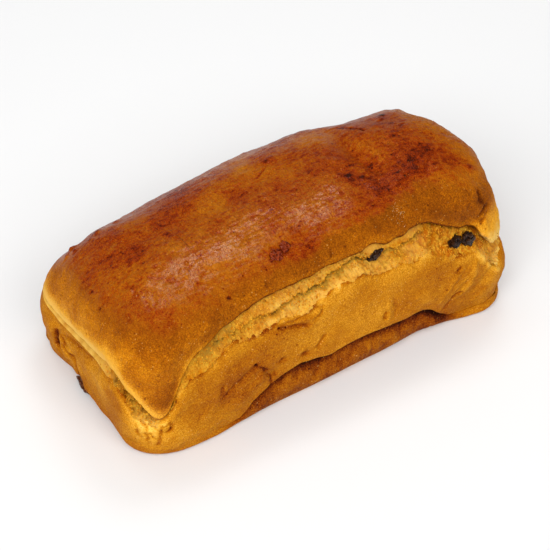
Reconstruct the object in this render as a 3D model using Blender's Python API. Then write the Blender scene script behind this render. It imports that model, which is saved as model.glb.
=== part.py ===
# Cozonac: a sweet raisin loaf baked in a tin, resting on its flat base.
# Metres, +Z up, +X along the loaf. The long side with the open tear faces -Y,
# and the end where the top crust hangs lowest faces -X.

import math

import bmesh
import bpy
import numpy as np
from mathutils import Euler, Matrix, Vector, noise

# Driving dimensions
LENGTH = 0.230
WIDTH = 0.120
HEIGHT = 0.095  # the highest lobe of the top crust, near the +X end
CORNER_RADIUS = 0.025  # of the plan outline, as the tin gives it
RIDGE_HALF = 0.058  # half length of the line that the dome rises to
PROFILE_STEPS = 60  # along one column of the dome, before its rows are spaced out on it
RIDGE_REACH = 0.975  # how far up the dome its rings go before the slit between them is closed
BASE_ROUND = 0.003  # radius of the edge between base and wall
WALL_HEIGHT = 0.040  # where the tapered wall has reached its full width
LIP_THICKNESS = 0.0016  # of the torn edge of the top crust
LIP_TUCK = 0.0004  # how far that edge draws in at half its thickness
SHOULDER = 0.0022  # how far the side crust rounds in before the crumb begins
SHOULDER_FROM = 0.7  # as a share of the belly's height
FOLD_UNDERCUT = 1.3  # how much deeper the fold goes under the belly than the foot below it stands
FOLD_ROUND = 0.7  # height of the belly's rounded lower edge, in fold depths
RAISIN_GAP = 0.0004  # from each raisin to its socket, measured outwards from its centre

# Mesh density
COLUMNS = 128
FOOT_ROWS = 5
BELLY_ROWS = 8
TEAR_ROWS = 6
CRUST_ROWS = 18
SIDE_DENSITY = {"front": 1.5, "end": 1.25, "back": 1.0}

# Heights and depths round the loaf: (x, y, value), each taken at the rim point nearest x, y.
# The lower edge of the top crust:
LIP = (
    (-0.115, 0.034, 0.042), (-0.115, 0.010, 0.044), (-0.115, -0.015, 0.050), (-0.113, -0.036, 0.055),
    (-0.108, -0.047, 0.044), (-0.103, -0.053, 0.0345), (-0.099, -0.056, 0.032), (-0.095, -0.058, 0.036),
    (-0.091, -0.059, 0.048), (-0.086, -0.060, 0.057), (-0.080, -0.060, 0.0625), (-0.070, -0.060, 0.0660),
    (-0.063, -0.060, 0.0720), (-0.052, -0.060, 0.0765), (-0.036, -0.060, 0.0790), (-0.010, -0.060, 0.0780),
    (0.020, -0.060, 0.0800), (0.048, -0.060, 0.0820), (0.058, -0.060, 0.0800), (0.068, -0.060, 0.0740),
    (0.080, -0.060, 0.0700), (0.087, -0.060, 0.0685), (0.093, -0.059, 0.0600), (0.099, -0.057, 0.0560),
    (0.106, -0.051, 0.0580), (0.112, -0.042, 0.0640), (0.115, 0.000, 0.0660),
    (0.108, 0.048, 0.0540), (0.060, 0.060, 0.0520), (0.000, 0.060, 0.0540), (-0.060, 0.060, 0.0500),
    (-0.100, 0.055, 0.0420),
)
# The lower edge of the torn crumb, where the side crust of the loaf ends:
CRUMB = (
    (-0.115, 0.034, 0.037), (-0.115, 0.010, 0.038), (-0.115, -0.015, 0.0430), (-0.113, -0.036, 0.044),
    (-0.108, -0.047, 0.030), (-0.103, -0.053, 0.0255), (-0.099, -0.056, 0.028), (-0.095, -0.058, 0.033),
    (-0.091, -0.059, 0.043), (-0.086, -0.060, 0.050), (-0.080, -0.060, 0.0530), (-0.070, -0.060, 0.0560),
    (-0.062, -0.060, 0.0640), (-0.052, -0.060, 0.0660), (-0.036, -0.060, 0.0650), (-0.010, -0.060, 0.0670),
    (0.008, -0.060, 0.0720), (0.026, -0.060, 0.0670), (0.050, -0.060, 0.0650), (0.064, -0.060, 0.0590),
    (0.076, -0.060, 0.0520), (0.090, -0.059, 0.0490), (0.105, -0.052, 0.0430), (0.114, -0.034, 0.0420),
    (0.115, 0.000, 0.0450), (0.108, 0.048, 0.0460), (0.060, 0.060, 0.0440), (0.000, 0.060, 0.0450),
    (-0.060, 0.060, 0.0430), (-0.100, 0.055, 0.0370),
)
# How far the top crust's edge stands inside the outline:
LIP_INSET = (
    (-0.115, 0.000, 0.0025), (-0.110, -0.045, 0.0020), (-0.099, -0.056, 0.0015), (-0.085, -0.060, 0.0030),
    (-0.060, -0.060, 0.0070), (0.000, -0.060, 0.0090), (0.050, -0.060, 0.0090), (0.080, -0.060, 0.0075),
    (0.108, -0.047, 0.0070), (0.114, -0.030, 0.0095), (0.115, 0.004, 0.0110), (0.112, 0.040, 0.0120),
    (0.080, 0.060, 0.0100), (0.000, 0.060, 0.0080), (-0.080, 0.060, 0.0090), (-0.110, 0.045, 0.0030),
)
# The height where the top crust's wall turns over into the dome:
RIM = (
    (-0.115, 0.000, 0.0540), (-0.106, -0.050, 0.0560), (-0.080, -0.060, 0.0680), (-0.040, -0.060, 0.0750),
    (0.050, -0.060, 0.0780), (0.086, -0.060, 0.0740), (0.104, -0.053, 0.0670), (0.114, -0.030, 0.0680),
    (0.115, 0.006, 0.0720), (0.108, 0.048, 0.0500), (0.085, 0.060, 0.0430), (0.060, 0.060, 0.0450),
    (0.038, 0.060, 0.0600), (0.010, 0.060, 0.0580), (-0.020, 0.060, 0.0530), (-0.050, 0.060, 0.0470),
    (-0.080, 0.060, 0.0420), (-0.105, 0.052, 0.0320),
)
# How square the dome is there: 2 is an ellipse, more is squarer
SQUARENESS = (
    (-0.115, 0.000, 2.20), (-0.100, -0.056, 2.30), (0.000, -0.060, 2.30), (0.086, -0.060, 2.30),
    (0.106, -0.050, 2.15), (0.115, 0.004, 2.75), (0.090, 0.060, 2.00), (0.000, 0.060, 2.10),
    (-0.100, 0.055, 1.95),
)
# The fold near the base that the side wall sags over, and how deep it goes in:
FOLD_HEIGHT = (
    (-0.115, 0.000, 0.0080), (-0.080, -0.060, 0.0055), (-0.055, -0.060, 0.0065), (-0.045, -0.060, 0.0120),
    (-0.035, -0.060, 0.0165), (-0.020, -0.060, 0.0200), (-0.005, -0.060, 0.0175), (0.012, -0.060, 0.0210),
    (0.040, -0.060, 0.0205), (0.058, -0.060, 0.0190), (0.068, -0.060, 0.0120), (0.080, -0.060, 0.0065),
    (0.115, 0.000, 0.0080), (0.060, 0.060, 0.0100), (0.000, 0.060, 0.0150), (-0.060, 0.060, 0.0100),
)
FOLD_DEPTH = (
    (-0.115, 0.000, 0.0), (-0.070, -0.060, 0.0), (-0.054, -0.060, 0.0020), (-0.040, -0.060, 0.0038),
    (0.055, -0.060, 0.0045), (0.070, -0.060, 0.0025), (0.085, -0.059, 0.0), (0.115, 0.000, 0.0),
    (0.060, 0.060, 0.0005), (0.000, 0.060, 0.0030), (-0.060, 0.060, 0.0005),
)
# How far the wall leans in from its full width down to the base:
TAPER = (
    (-0.115, 0.008, 0.0080), (-0.115, -0.020, 0.0060), (-0.100, -0.055, 0.0055), (0.000, -0.060, 0.0028),
    (0.030, -0.060, 0.0040), (0.055, -0.060, 0.0070), (0.075, -0.060, 0.0080), (0.098, -0.057, 0.0050),
    (0.108, -0.047, 0.0030), (0.115, 0.000, 0.0035), (0.000, 0.060, 0.0080), (-0.108, 0.050, 0.0030),
)

# The height of the dome's ridge along the loaf: (x, height)
RIDGE = ((-0.058, 0.0885), (-0.030, 0.0915), (0.010, 0.0930), (0.040, 0.0925), (0.058, 0.0935))

# Swellings and hollows of the dome: (x, y, reach along x, reach along y, turn in degrees, height)
DOME_FORMS = (
    (0.082, -0.012, 0.026, 0.024, 0, 0.0030),
    (-0.062, -0.020, 0.034, 0.016, -8, 0.0016),
    (0.012, -0.022, 0.026, 0.015, 0, 0.0016),
    (-0.030, 0.006, 0.060, 0.010, 3, -0.0016),
)
# Folds pressed into the crust: (path of points, half width, depth)
FOLDS = (
    (((0.048, 0.026, 0.091), (0.046, 0.006, 0.094), (0.049, -0.016, 0.091)), 0.0050, 0.0022),
    (((-0.114, 0.017, 0.033), (-0.114, 0.006, 0.035), (-0.113, -0.018, 0.040)), 0.0035, 0.0016),
    (((-0.114, 0.025, 0.032), (-0.113, 0.027, 0.015)), 0.0030, 0.0028),
    (((-0.114, 0.018, 0.027), (-0.113, 0.011, 0.021)), 0.0030, 0.0020),
    (((-0.114, 0.005, 0.027), (-0.113, 0.001, 0.018)), 0.0030, 0.0012),
    (((-0.052, -0.060, 0.028), (-0.045, -0.060, 0.036), (-0.038, -0.060, 0.030)), 0.0025, 0.0012),
    (((0.084, -0.059, 0.020), (0.096, -0.057, 0.034), (0.100, -0.055, 0.044)), 0.0040, 0.0010),
)
UNEVEN_SIZE = 0.022  # of the slow swells all over the crust
UNEVEN_DEPTH = 0.0009
CALM_HEIGHT = 0.006  # below it the relief fades, so that the base stays flat
CROWN_LOW, CROWN_HIGH = 0.060, 0.075  # between them the dome's own forms set in

# The torn crumb
TEAR_OPEN = 0.010  # height from which the band is torn open in full
TEAR_HOLLOW = 0.0012  # how deep the band sinks between its two edges
TEAR_LEAN = 0.8  # below 1 the band leans back soonest at its foot
FISSURE_DEPTH = 0.0020
FISSURE_PLACE, FISSURE_WIDTH = 0.55, 0.16  # as shares of the band's height
TORN_SIZE = 0.0065  # of the lumps of torn crumb
TORN_DEPTH = 0.0011

# Raisins: (name, centre, half sizes, turn in degrees, seed)
RAISINS = (
    ("raisin_tear_a", (0.0736, -0.0520, 0.0582), (0.0041, 0.0031, 0.0023), (20, -14, -12), 3),
    ("raisin_tear_b", (0.0817, -0.0525, 0.0564), (0.0033, 0.0032, 0.0042), (15, 10, 0), 5),
    ("raisin_crease", (0.0258, -0.0497, 0.0714), (0.0045, 0.0027, 0.0020), (10, -14, 4), 8),
    ("raisin_crust_a", (-0.0244, -0.0388, 0.0858), (0.0035, 0.0030, 0.0025), (25, 10, 20), 11),
    ("raisin_crust_b", (-0.0177, -0.0372, 0.0868), (0.0024, 0.0031, 0.0023), (30, 0, -20), 14),
    ("raisin_base", (-0.1092, 0.0080, 0.0040), (0.0030, 0.0066, 0.0034), (0, 0, 0), 17),
)
RAISIN_LUMP = 0.20  # of its size
RAISIN_GROOVE = 0.16


def rim_outline(columns, half_length, half_width, radius, density):
    """Points and outward normals round a rounded rectangle, closer together where density is higher."""
    straight_x = half_length - radius
    straight_y = half_width - radius
    quarter = math.pi / 2 * radius
    runs = (
        (2 * straight_x, "front"), (quarter, "end"), (2 * straight_y, "end"), (quarter, "end"),
        (2 * straight_x, "back"), (quarter, "end"), (2 * straight_y, "end"), (quarter, "end"),
    )
    lengths = np.array([run[0] for run in runs])
    weights = lengths * np.array([density[run[1]] for run in runs])
    ends = np.concatenate([[0], np.cumsum(lengths)])
    loads = np.concatenate([[0], np.cumsum(weights)])
    along = np.interp(np.arange(columns) / columns * loads[-1], loads, ends)
    points = np.empty((columns, 2))
    normals = np.empty((columns, 2))
    for i, distance in enumerate(along):
        run = min(int(np.searchsorted(ends, distance, side="right")) - 1, 7)
        rest = distance - ends[run]
        side, on_arc = divmod(run, 2)
        start = math.radians((-90, 0, 90, 180)[side])
        if on_arc:
            angle = start + rest / radius
            corner = np.array(((1, -1), (1, 1), (-1, 1), (-1, -1))[side]) * (straight_x, straight_y)
            normals[i] = math.cos(angle), math.sin(angle)
            points[i] = corner + radius * normals[i]
        else:
            normals[i] = math.cos(start), math.sin(start)
            first = np.array(((-1, -1), (1, -1), (1, 1), (-1, 1))[side]) * (straight_x, straight_y)
            forward = np.array((-normals[i][1], normals[i][0]))
            points[i] = first + radius * normals[i] + rest * forward
    return points, normals, along


def smooth_through(knots, values, at, period=None):
    """A smooth curve through knots, without overshoot, read at the given places."""
    order = np.argsort(knots)
    knots = np.asarray(knots, float)[order]
    values = np.asarray(values, float)[order]
    if period:
        knots = np.concatenate([knots[-2:] - period, knots, knots[:2] + period])
        values = np.concatenate([values[-2:], values, values[:2]])
    step = np.diff(knots)
    rise = np.diff(values) / step
    slope = np.concatenate([[rise[0]], (rise[:-1] + rise[1:]) / 2, [rise[-1]]])
    slope[1:-1][rise[:-1] * rise[1:] <= 0] = 0
    at = np.clip(at, knots[0], knots[-1])
    i = np.clip(np.searchsorted(knots, at, side="right") - 1, 0, len(step) - 1)
    t = (at - knots[i]) / step[i]
    before, after = values[i], values[i + 1]
    bend = t * (1 - t) * ((1 - t) * (slope[i] - rise[i]) - t * (slope[i + 1] - rise[i])) * step[i]
    return before + (after - before) * t + bend


class Rim:
    """The plan outline, with ways to read the tables above at each of its columns."""

    def __init__(self, columns, density):
        sizes = (LENGTH / 2, WIDTH / 2, CORNER_RADIUS)
        self.points, self.normals, self.along = rim_outline(columns, *sizes, density)
        even = {side: 1.0 for side in density}
        self.fine_points, _, self.fine_along = rim_outline(2000, *sizes, even)
        self.length = self.fine_along[-1] + self.fine_along[1]

    def around(self, table):
        table = np.array(table)
        gaps = np.linalg.norm(self.fine_points[None] - table[:, None, :2], axis=2)
        places = self.fine_along[gaps.argmin(axis=1)]
        return smooth_through(places, table[:, 2], self.along, self.length)

    def ring(self, offset, height):
        """A ring that stands offset outside the outline."""
        flat = self.points + self.normals * np.reshape(offset, (-1, 1))
        return np.column_stack([flat, np.broadcast_to(height, len(flat))])


def wall_offset(height, taper):
    """Where the tapered wall stands at a height, seen from its full width."""
    return -taper * (1 - np.sin(np.clip(height / WALL_HEIGHT, 0, 1) * math.pi / 2))


def foot_rings(rim):
    """From the base up to the fold that the wall sags over."""
    taper = rim.around(TAPER)
    fold = rim.around(FOLD_DEPTH)
    for turn in np.linspace(0, math.pi / 2, FOOT_ROWS - 1):
        height = np.full(len(taper), BASE_ROUND * (1 - math.cos(turn)))
        yield rim.ring(wall_offset(height, taper) - fold - BASE_ROUND * (1 - math.sin(turn)), height)
    top = rim.around(FOLD_HEIGHT)
    yield rim.ring(wall_offset(top, taper) - fold * FOLD_UNDERCUT, top)


def belly_rings(rim):
    """The sagging side wall, from the fold to where the crumb shows."""
    taper = rim.around(TAPER)
    fold = rim.around(FOLD_DEPTH)
    low = rim.around(FOLD_HEIGHT) + fold * FOLD_ROUND
    high = rim.around(CRUMB)
    for part in np.linspace(0, 1, BELLY_ROWS):
        height = low + (high - low) * part
        shoulder = SHOULDER * max(0, (part - SHOULDER_FROM) / (1 - SHOULDER_FROM)) ** 2
        yield rim.ring(wall_offset(height, taper) - shoulder, height)


def tear_rings(rim):
    """The torn crumb between the side crust and the top crust, with the fissure along its middle."""
    low = rim.around(CRUMB)
    high = rim.around(LIP) - LIP_THICKNESS
    lean = rim.around(LIP_INSET)
    opening = np.clip((high - low) / TEAR_OPEN, 0, 1)
    for row in range(1, TEAR_ROWS + 1):
        part = row / TEAR_ROWS
        height = low + (high - low) * part
        fissure = FISSURE_DEPTH * math.exp(-(((part - FISSURE_PLACE) / FISSURE_WIDTH) ** 2))
        hollow = TEAR_HOLLOW * math.sin(math.pi * part)
        offset = -SHOULDER - lean * part**TEAR_LEAN - (fissure + hollow) * opening
        lumps = [noise.noise(Vector(point) / TORN_SIZE) for point in rim.ring(offset, height)]
        yield rim.ring(offset + np.array(lumps) * TORN_DEPTH * opening, height)


def crust_profile(low, inset, rim_height, squareness, ridge_height, rows):
    """Heights and inward shares of one column of the top crust, from its torn edge to the ridge."""
    turn = np.linspace(0, math.pi / 2, PROFILE_STEPS)
    inward = 1 - np.cos(turn) ** (2 / squareness)
    height = rim_height + (ridge_height - rim_height) * np.sin(turn) ** (2 / squareness)
    if low < rim_height:
        inward = np.concatenate([[0], inward])
        height = np.concatenate([[low], height])
    reach = WIDTH / 2 - inset
    travelled = np.concatenate([[0], np.cumsum(np.hypot(np.diff(inward) * reach, np.diff(height)))])
    start = np.interp(low, height, travelled)
    stop = travelled[-1] * RIDGE_REACH
    at = np.linspace(start, stop, rows)
    return np.interp(at, travelled, inward), np.interp(at, travelled, height)


def crust_rings(rim):
    """The domed top crust, closing in on the ridge line."""
    lip = rim.around(LIP)
    inset = rim.around(LIP_INSET)
    rim_height = rim.around(RIM)
    squareness = rim.around(SQUARENESS)
    edge = rim.points - rim.normals * inset[:, None]
    ridge = np.column_stack([np.clip(edge[:, 0], -RIDGE_HALF, RIDGE_HALF), np.zeros(len(edge))])
    table = np.array(RIDGE)
    ridge_height = smooth_through(table[:, 0], table[:, 1], ridge[:, 0])
    columns = zip(lip, inset, rim_height, squareness, ridge_height)
    profiles = [crust_profile(*column, CRUST_ROWS) for column in columns]
    yield rim.ring(-inset - LIP_TUCK, lip - LIP_THICKNESS / 2)
    for row in range(CRUST_ROWS):
        inward = np.array([profile[0][row] for profile in profiles])[:, None]
        height = np.array([profile[1][row] for profile in profiles])
        yield np.column_stack([edge + (ridge - edge) * inward, height])


def distance_to_path(points, path):
    """The distance of each point from a path of straight stretches."""
    nearest = np.full(len(points), np.inf)
    for start, end in zip(path[:-1], path[1:]):
        start, end = np.array(start), np.array(end)
        run = end - start
        share = np.clip((points - start) @ run / (run @ run), 0, 1)
        nearest = np.minimum(nearest, np.linalg.norm(points - start - share[:, None] * run, axis=1))
    return nearest


def grid_normals(grid):
    """Outward normals of the rings, which run round the loaf from the base up."""
    across = np.roll(grid, -1, axis=1) - np.roll(grid, 1, axis=1)
    up = np.gradient(grid, axis=0)
    normals = np.cross(across, up)
    return normals / np.linalg.norm(normals, axis=2)[..., None]


def relief(points):
    """How far the crust stands out of, or sinks below, its plain form at each point."""
    depth = np.array([noise.noise(Vector(point) / UNEVEN_SIZE) for point in points]) * UNEVEN_DEPTH
    for x, y, reach_x, reach_y, turn, height in DOME_FORMS:
        turn = math.radians(turn)
        along = (points[:, 0] - x) * math.cos(turn) + (points[:, 1] - y) * math.sin(turn)
        across = (points[:, 1] - y) * math.cos(turn) - (points[:, 0] - x) * math.sin(turn)
        upper = np.clip((points[:, 2] - CROWN_LOW) / (CROWN_HIGH - CROWN_LOW), 0, 1)
        depth += height * upper * np.exp(-((along / reach_x) ** 2) - (across / reach_y) ** 2)
    for path, half_width, fold_depth in FOLDS:
        depth -= fold_depth * np.exp(-((distance_to_path(points, path) / half_width) ** 2))
    return depth


def loaf_grid(rim):
    """All rings of the loaf from the base's edge to the ridge, as rows x columns x 3."""
    rings = [*foot_rings(rim), *belly_rings(rim), *tear_rings(rim), *crust_rings(rim)]
    grid = np.array(rings)
    moved = grid[1:]
    depth = relief(moved.reshape(-1, 3)).reshape(moved.shape[:2])
    share = np.clip(moved[..., 2] / CALM_HEIGHT, 0, 1)
    grid[1:] = moved + grid_normals(grid)[1:] * (depth * share)[..., None]
    return grid


def fit_to_size(grid):
    """Centres the loaf on its box and brings it to the driving dimensions exactly."""
    low, high = grid.reshape(-1, 3).min(axis=0), grid.reshape(-1, 3).max(axis=0)
    middle = (low + high) / 2
    scale = np.array([LENGTH, WIDTH, HEIGHT]) / (high - low)
    return (grid - [middle[0], middle[1], low[2]]) * scale


def zip_ridge(bm, ring, on_front):
    """Closes the slit along the ridge between its front and its back half, from -X to +X."""
    start = next(i for i in range(len(ring)) if on_front[i] and not on_front[i - 1])
    ordered = ring[start:] + ring[:start]
    front = ordered[: sum(on_front)]
    back = ordered[sum(on_front) :][::-1]
    f = b = 0
    while f < len(front) - 1 or b < len(back) - 1:
        ahead = f < len(front) - 1 and (b == len(back) - 1 or front[f + 1].co.x < back[b + 1].co.x)
        if ahead:
            bm.faces.new((front[f], front[f + 1], back[b]))
            f += 1
        else:
            bm.faces.new((front[f], back[b + 1], back[b]))
            b += 1


def new_object(name, bm, material):
    mesh = bpy.data.meshes.new(name)
    bm.to_mesh(mesh)
    bm.free()
    mesh.materials.append(material)
    mesh.shade_smooth()
    obj = bpy.data.objects.new(name, mesh)
    bpy.context.scene.collection.objects.link(obj)
    return obj


def principled(name, colour, roughness):
    material = bpy.data.materials.new(name)
    material.use_nodes = True
    shader = material.node_tree.nodes["Principled BSDF"]
    shader.inputs["Base Color"].default_value = (*colour, 1)
    shader.inputs["Roughness"].default_value = roughness
    shader.inputs["Metallic"].default_value = 0
    return material


def make_loaf(material):
    rim = Rim(COLUMNS, SIDE_DENSITY)
    grid = fit_to_size(loaf_grid(rim))
    bm = bmesh.new()
    rings = [[bm.verts.new(point) for point in ring] for ring in grid]
    for lower, upper in zip(rings[:-1], rings[1:]):
        for i in range(COLUMNS):
            j = (i + 1) % COLUMNS
            bm.faces.new((lower[i], lower[j], upper[j], upper[i]))
    bm.faces.new(reversed(rings[0]))
    zip_ridge(bm, rings[-1], list(rim.points[:, 1] < 0))
    return new_object("loaf", bm, material)


def raisin_mesh(half_sizes, seed, swell):
    """A wrinkled raisin about its own centre, grown by swell on all sides."""
    bm = bmesh.new()
    bmesh.ops.create_icosphere(bm, subdivisions=3, radius=1)
    for vert in bm.verts:
        direction = vert.co.normalized()
        lump = noise.noise(direction * 1.9 + Vector((seed, 0, 0))) * RAISIN_LUMP
        groove = abs(noise.noise(direction * 3.3 + Vector((0, seed, 0)))) * RAISIN_GROOVE
        size = 1 + lump - groove
        vert.co = Vector(a * h * size for a, h in zip(direction, half_sizes)) + direction * swell
    return bm


def make_raisin(name, centre, half_sizes, turn, seed, material):
    place = Matrix.Translation(centre) @ Euler([math.radians(a) for a in turn]).to_matrix().to_4x4()
    raisin = new_object(name, raisin_mesh(half_sizes, seed, 0), material)
    socket = new_object(name + "_socket", raisin_mesh(half_sizes, seed, RAISIN_GAP), material)
    for obj in (raisin, socket):
        obj.matrix_world = place
    socket.hide_render = True
    socket.display_type = "WIRE"
    return raisin, socket


def cut(target, cutter):
    modifier = target.modifiers.new("cut_" + cutter.name, "BOOLEAN")
    modifier.operation = "DIFFERENCE"
    modifier.object = cutter


def main():
    for obj in list(bpy.data.objects):
        bpy.data.objects.remove(obj, do_unlink=True)
    crust = principled("baked_crust", (0.47, 0.19, 0.03), 0.45)
    raisin_skin = principled("raisin_skin", (0.03, 0.012, 0.010), 0.35)
    loaf = make_loaf(crust)
    for name, centre, half_sizes, turn, seed in RAISINS:
        _, socket = make_raisin(name, centre, half_sizes, turn, seed, raisin_skin)
        cut(loaf, socket)


main()
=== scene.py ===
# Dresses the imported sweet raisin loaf: lid crust, side crust, torn crumb, raisins and loose crumbs.
# Metres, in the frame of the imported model: the torn side faces -Y, the high lobe is at +X.
import math

import bmesh
import bpy
import numpy as np
from mathutils import Euler, Matrix, Vector, noise


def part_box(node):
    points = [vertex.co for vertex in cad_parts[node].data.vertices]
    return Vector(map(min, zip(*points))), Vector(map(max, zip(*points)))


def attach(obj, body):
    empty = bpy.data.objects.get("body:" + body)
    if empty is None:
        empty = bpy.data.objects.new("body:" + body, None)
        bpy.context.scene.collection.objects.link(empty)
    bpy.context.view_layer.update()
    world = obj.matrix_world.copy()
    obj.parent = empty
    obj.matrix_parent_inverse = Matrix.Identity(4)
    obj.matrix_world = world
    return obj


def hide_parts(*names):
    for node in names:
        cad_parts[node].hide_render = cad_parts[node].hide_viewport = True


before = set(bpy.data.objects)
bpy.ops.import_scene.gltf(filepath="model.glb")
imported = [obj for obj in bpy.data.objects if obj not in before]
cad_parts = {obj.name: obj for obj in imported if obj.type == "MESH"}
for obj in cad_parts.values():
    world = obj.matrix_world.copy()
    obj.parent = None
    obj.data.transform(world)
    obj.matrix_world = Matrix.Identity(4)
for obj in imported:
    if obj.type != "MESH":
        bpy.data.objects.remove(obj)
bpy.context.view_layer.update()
scene = bpy.context.scene
print("frame loaded")

# The loaf's form, with the same tables as its CAD solid: (x, y, value) at rim points, in mm, or (x, value) for
# a point on the front, where y is -60. Squareness is a plain number. Single values are in metres or shares.
loafForm = {
    "length": 0.230, "width": 0.120, "cornerRadius": 0.025, "ridgeHalf": 0.058, "profileSteps": 60,
    "ridgeReach": 0.975, "baseRound": 0.003, "wallHeight": 0.040, "lipThickness": 0.0016,
    "shoulder": 0.0022, "shoulderFrom": 0.7, "foldUndercut": 1.3, "foldRound": 0.7, "unevenSize": 0.022,
    "unevenDepth": 0.0009, "calmHeight": 0.006, "crownLow": 0.060, "crownHigh": 0.075, "insideEdge": 0.008,
    "lip": (
        (-115, 34, 42), (-115, 10, 44), (-115, -15, 50), (-113, -36, 55), (-108, -47, 44), (-103, -53, 34.5),
        (-99, -56, 32), (-95, -58, 36), (-91, -59, 48), (-86, 57), (-80, 62.5), (-70, 66), (-63, 72),
        (-52, 76.5), (-36, 79), (-10, 78), (20, 80), (48, 82), (58, 80), (68, 74), (80, 70), (87, 68.5),
        (93, -59, 60), (99, -57, 56), (106, -51, 58), (112, -42, 64), (115, 0, 66), (108, 48, 54),
        (60, 60, 52), (0, 60, 54), (-60, 60, 50), (-100, 55, 42),
    ),
    "crumb": (
        (-115, 34, 37), (-115, 10, 38), (-115, -15, 43), (-113, -36, 44), (-108, -47, 30), (-103, -53, 25.5),
        (-99, -56, 28), (-95, -58, 33), (-91, -59, 43), (-86, 50), (-80, 53), (-70, 56), (-62, 64), (-52, 66),
        (-36, 65), (-10, 67), (8, 72), (26, 67), (50, 65), (64, 59), (76, 52), (90, -59, 49), (105, -52, 43),
        (114, -34, 42), (115, 0, 45), (108, 48, 46), (60, 60, 44), (0, 60, 45), (-60, 60, 43), (-100, 55, 37),
    ),
    "lipInset": (
        (-115, 0, 2.5), (-110, -45, 2), (-99, -56, 1.5), (-85, 3), (-60, 7), (0, 9), (50, 9), (80, 7.5),
        (108, -47, 7), (114, -30, 9.5), (115, 4, 11), (112, 40, 12), (80, 60, 10), (0, 60, 8), (-80, 60, 9),
        (-110, 45, 3),
    ),
    "rim": (
        (-115, 0, 54), (-106, -50, 56), (-80, 68), (-40, 75), (50, 78), (86, 74), (104, -53, 67),
        (114, -30, 68), (115, 6, 72), (108, 48, 50), (85, 60, 43), (60, 60, 45), (38, 60, 60), (10, 60, 58),
        (-20, 60, 53), (-50, 60, 47), (-80, 60, 42), (-105, 52, 32),
    ),
    "squareness": (
        (-115, 0, 2.2), (-100, -56, 2.3), (0, 2.3), (86, 2.3), (106, -50, 2.15), (115, 4, 2.75), (90, 60, 2),
        (0, 60, 2.1), (-100, 55, 1.95),
    ),
    "foldHeight": (
        (-115, 0, 8), (-80, 5.5), (-55, 6.5), (-45, 12), (-35, 16.5), (-20, 20), (-5, 17.5), (12, 21),
        (40, 20.5), (58, 19), (68, 12), (80, 6.5), (115, 0, 8), (60, 60, 10), (0, 60, 15), (-60, 60, 10),
    ),
    "foldDepth": (
        (-115, 0, 0), (-70, 0), (-54, 2), (-40, 3.8), (55, 4.5), (70, 2.5), (85, -59, 0), (115, 0, 0),
        (60, 60, 0.5), (0, 60, 3), (-60, 60, 0.5),
    ),
    "taper": (
        (-115, 8, 8), (-115, -20, 6), (-100, -55, 5.5), (0, 2.8), (30, 4), (55, 7), (75, 8), (98, -57, 5),
        (108, -47, 3), (115, 0, 3.5), (0, 60, 8), (-108, 50, 3),
    ),
    "ridge": (  # (x, height)
        (-58, 88.5), (-30, 91.5), (10, 93), (40, 92.5), (58, 93.5),
    ),
    "domeForms": (  # (x, y, reach along, reach across, turn in degrees, height)
        (82, -12, 26, 24, 0, 3), (-62, -20, 34, 16, -8, 1.6), (12, -22, 26, 15, 0, 1.6),
        (-30, 6, 60, 10, 3, -1.6),
    ),
    "folds": (  # (path, half width, depth)
        (((48, 26, 91), (46, 6, 94), (49, -16, 91)), 5, 2.2),
        (((-114, 17, 33), (-114, 6, 35), (-113, -18, 40)), 3.5, 1.6),
        (((-114, 25, 32), (-113, 27, 15)), 3, 2.8), (((-114, 18, 27), (-113, 11, 21)), 3, 2),
        (((-114, 5, 27), (-113, 1, 18)), 3, 1.2), (((-52, -60, 28), (-45, -60, 36), (-38, -60, 30)), 2.5, 1.2),
        (((84, -59, 20), (96, -57, 34), (100, -55, 44)), 4, 1),
    ),
}


def rimOutline(columns, density):  # rounded rectangle, closer together where density is higher
    halfLength, halfWidth, radius = loafForm["length"] / 2, loafForm["width"] / 2, loafForm["cornerRadius"]
    straight = np.array([halfLength - radius, halfWidth - radius])
    quarter = math.pi / 2 * radius
    lengths = np.array([2 * straight[0], quarter, 2 * straight[1], quarter] * 2)
    front, end, back = density
    loads = np.concatenate([[0], np.cumsum(lengths * [front, end, end, end, back, end, end, end])])
    ends = np.concatenate([[0], np.cumsum(lengths)])
    along = np.interp(np.arange(columns) / columns * loads[-1], loads, ends)
    points, normals = np.empty((columns, 2)), np.empty((columns, 2))
    for i, distance in enumerate(along):
        run = min(int(np.searchsorted(ends, distance, side="right")) - 1, 7)
        rest = distance - ends[run]
        side, onArc = divmod(run, 2)
        angle = math.radians((-90, 0, 90, 180)[side]) + (rest / radius if onArc else 0)
        normals[i] = math.cos(angle), math.sin(angle)
        if onArc:
            points[i] = np.array(((1, -1), (1, 1), (-1, 1), (-1, -1))[side]) * straight + radius * normals[i]
        else:
            first = np.array(((-1, -1), (1, -1), (1, 1), (-1, 1))[side]) * straight
            points[i] = first + radius * normals[i] + rest * np.array((-normals[i][1], normals[i][0]))
    return points, normals, along


def smoothThrough(knots, values, at, period=None):
    order = np.argsort(knots)
    knots, values = np.asarray(knots, float)[order], np.asarray(values, float)[order]
    if period:
        knots = np.concatenate([knots[-2:] - period, knots, knots[:2] + period])
        values = np.concatenate([values[-2:], values, values[:2]])
    step = np.diff(knots)
    rise = np.diff(values) / step
    slope = np.concatenate([[rise[0]], (rise[:-1] + rise[1:]) / 2, [rise[-1]]])
    slope[1:-1][rise[:-1] * rise[1:] <= 0] = 0
    at = np.clip(at, knots[0], knots[-1])
    i = np.clip(np.searchsorted(knots, at, side="right") - 1, 0, len(step) - 1)
    t = (at - knots[i]) / step[i]
    bend = t * (1 - t) * ((1 - t) * (slope[i] - rise[i]) - t * (slope[i + 1] - rise[i])) * step[i]
    return values[i] + (values[i + 1] - values[i]) * t + bend


finePoints, _, fineAlong = rimOutline(2000, (1, 1, 1))
rimLength = fineAlong[-1] + fineAlong[1]


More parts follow.
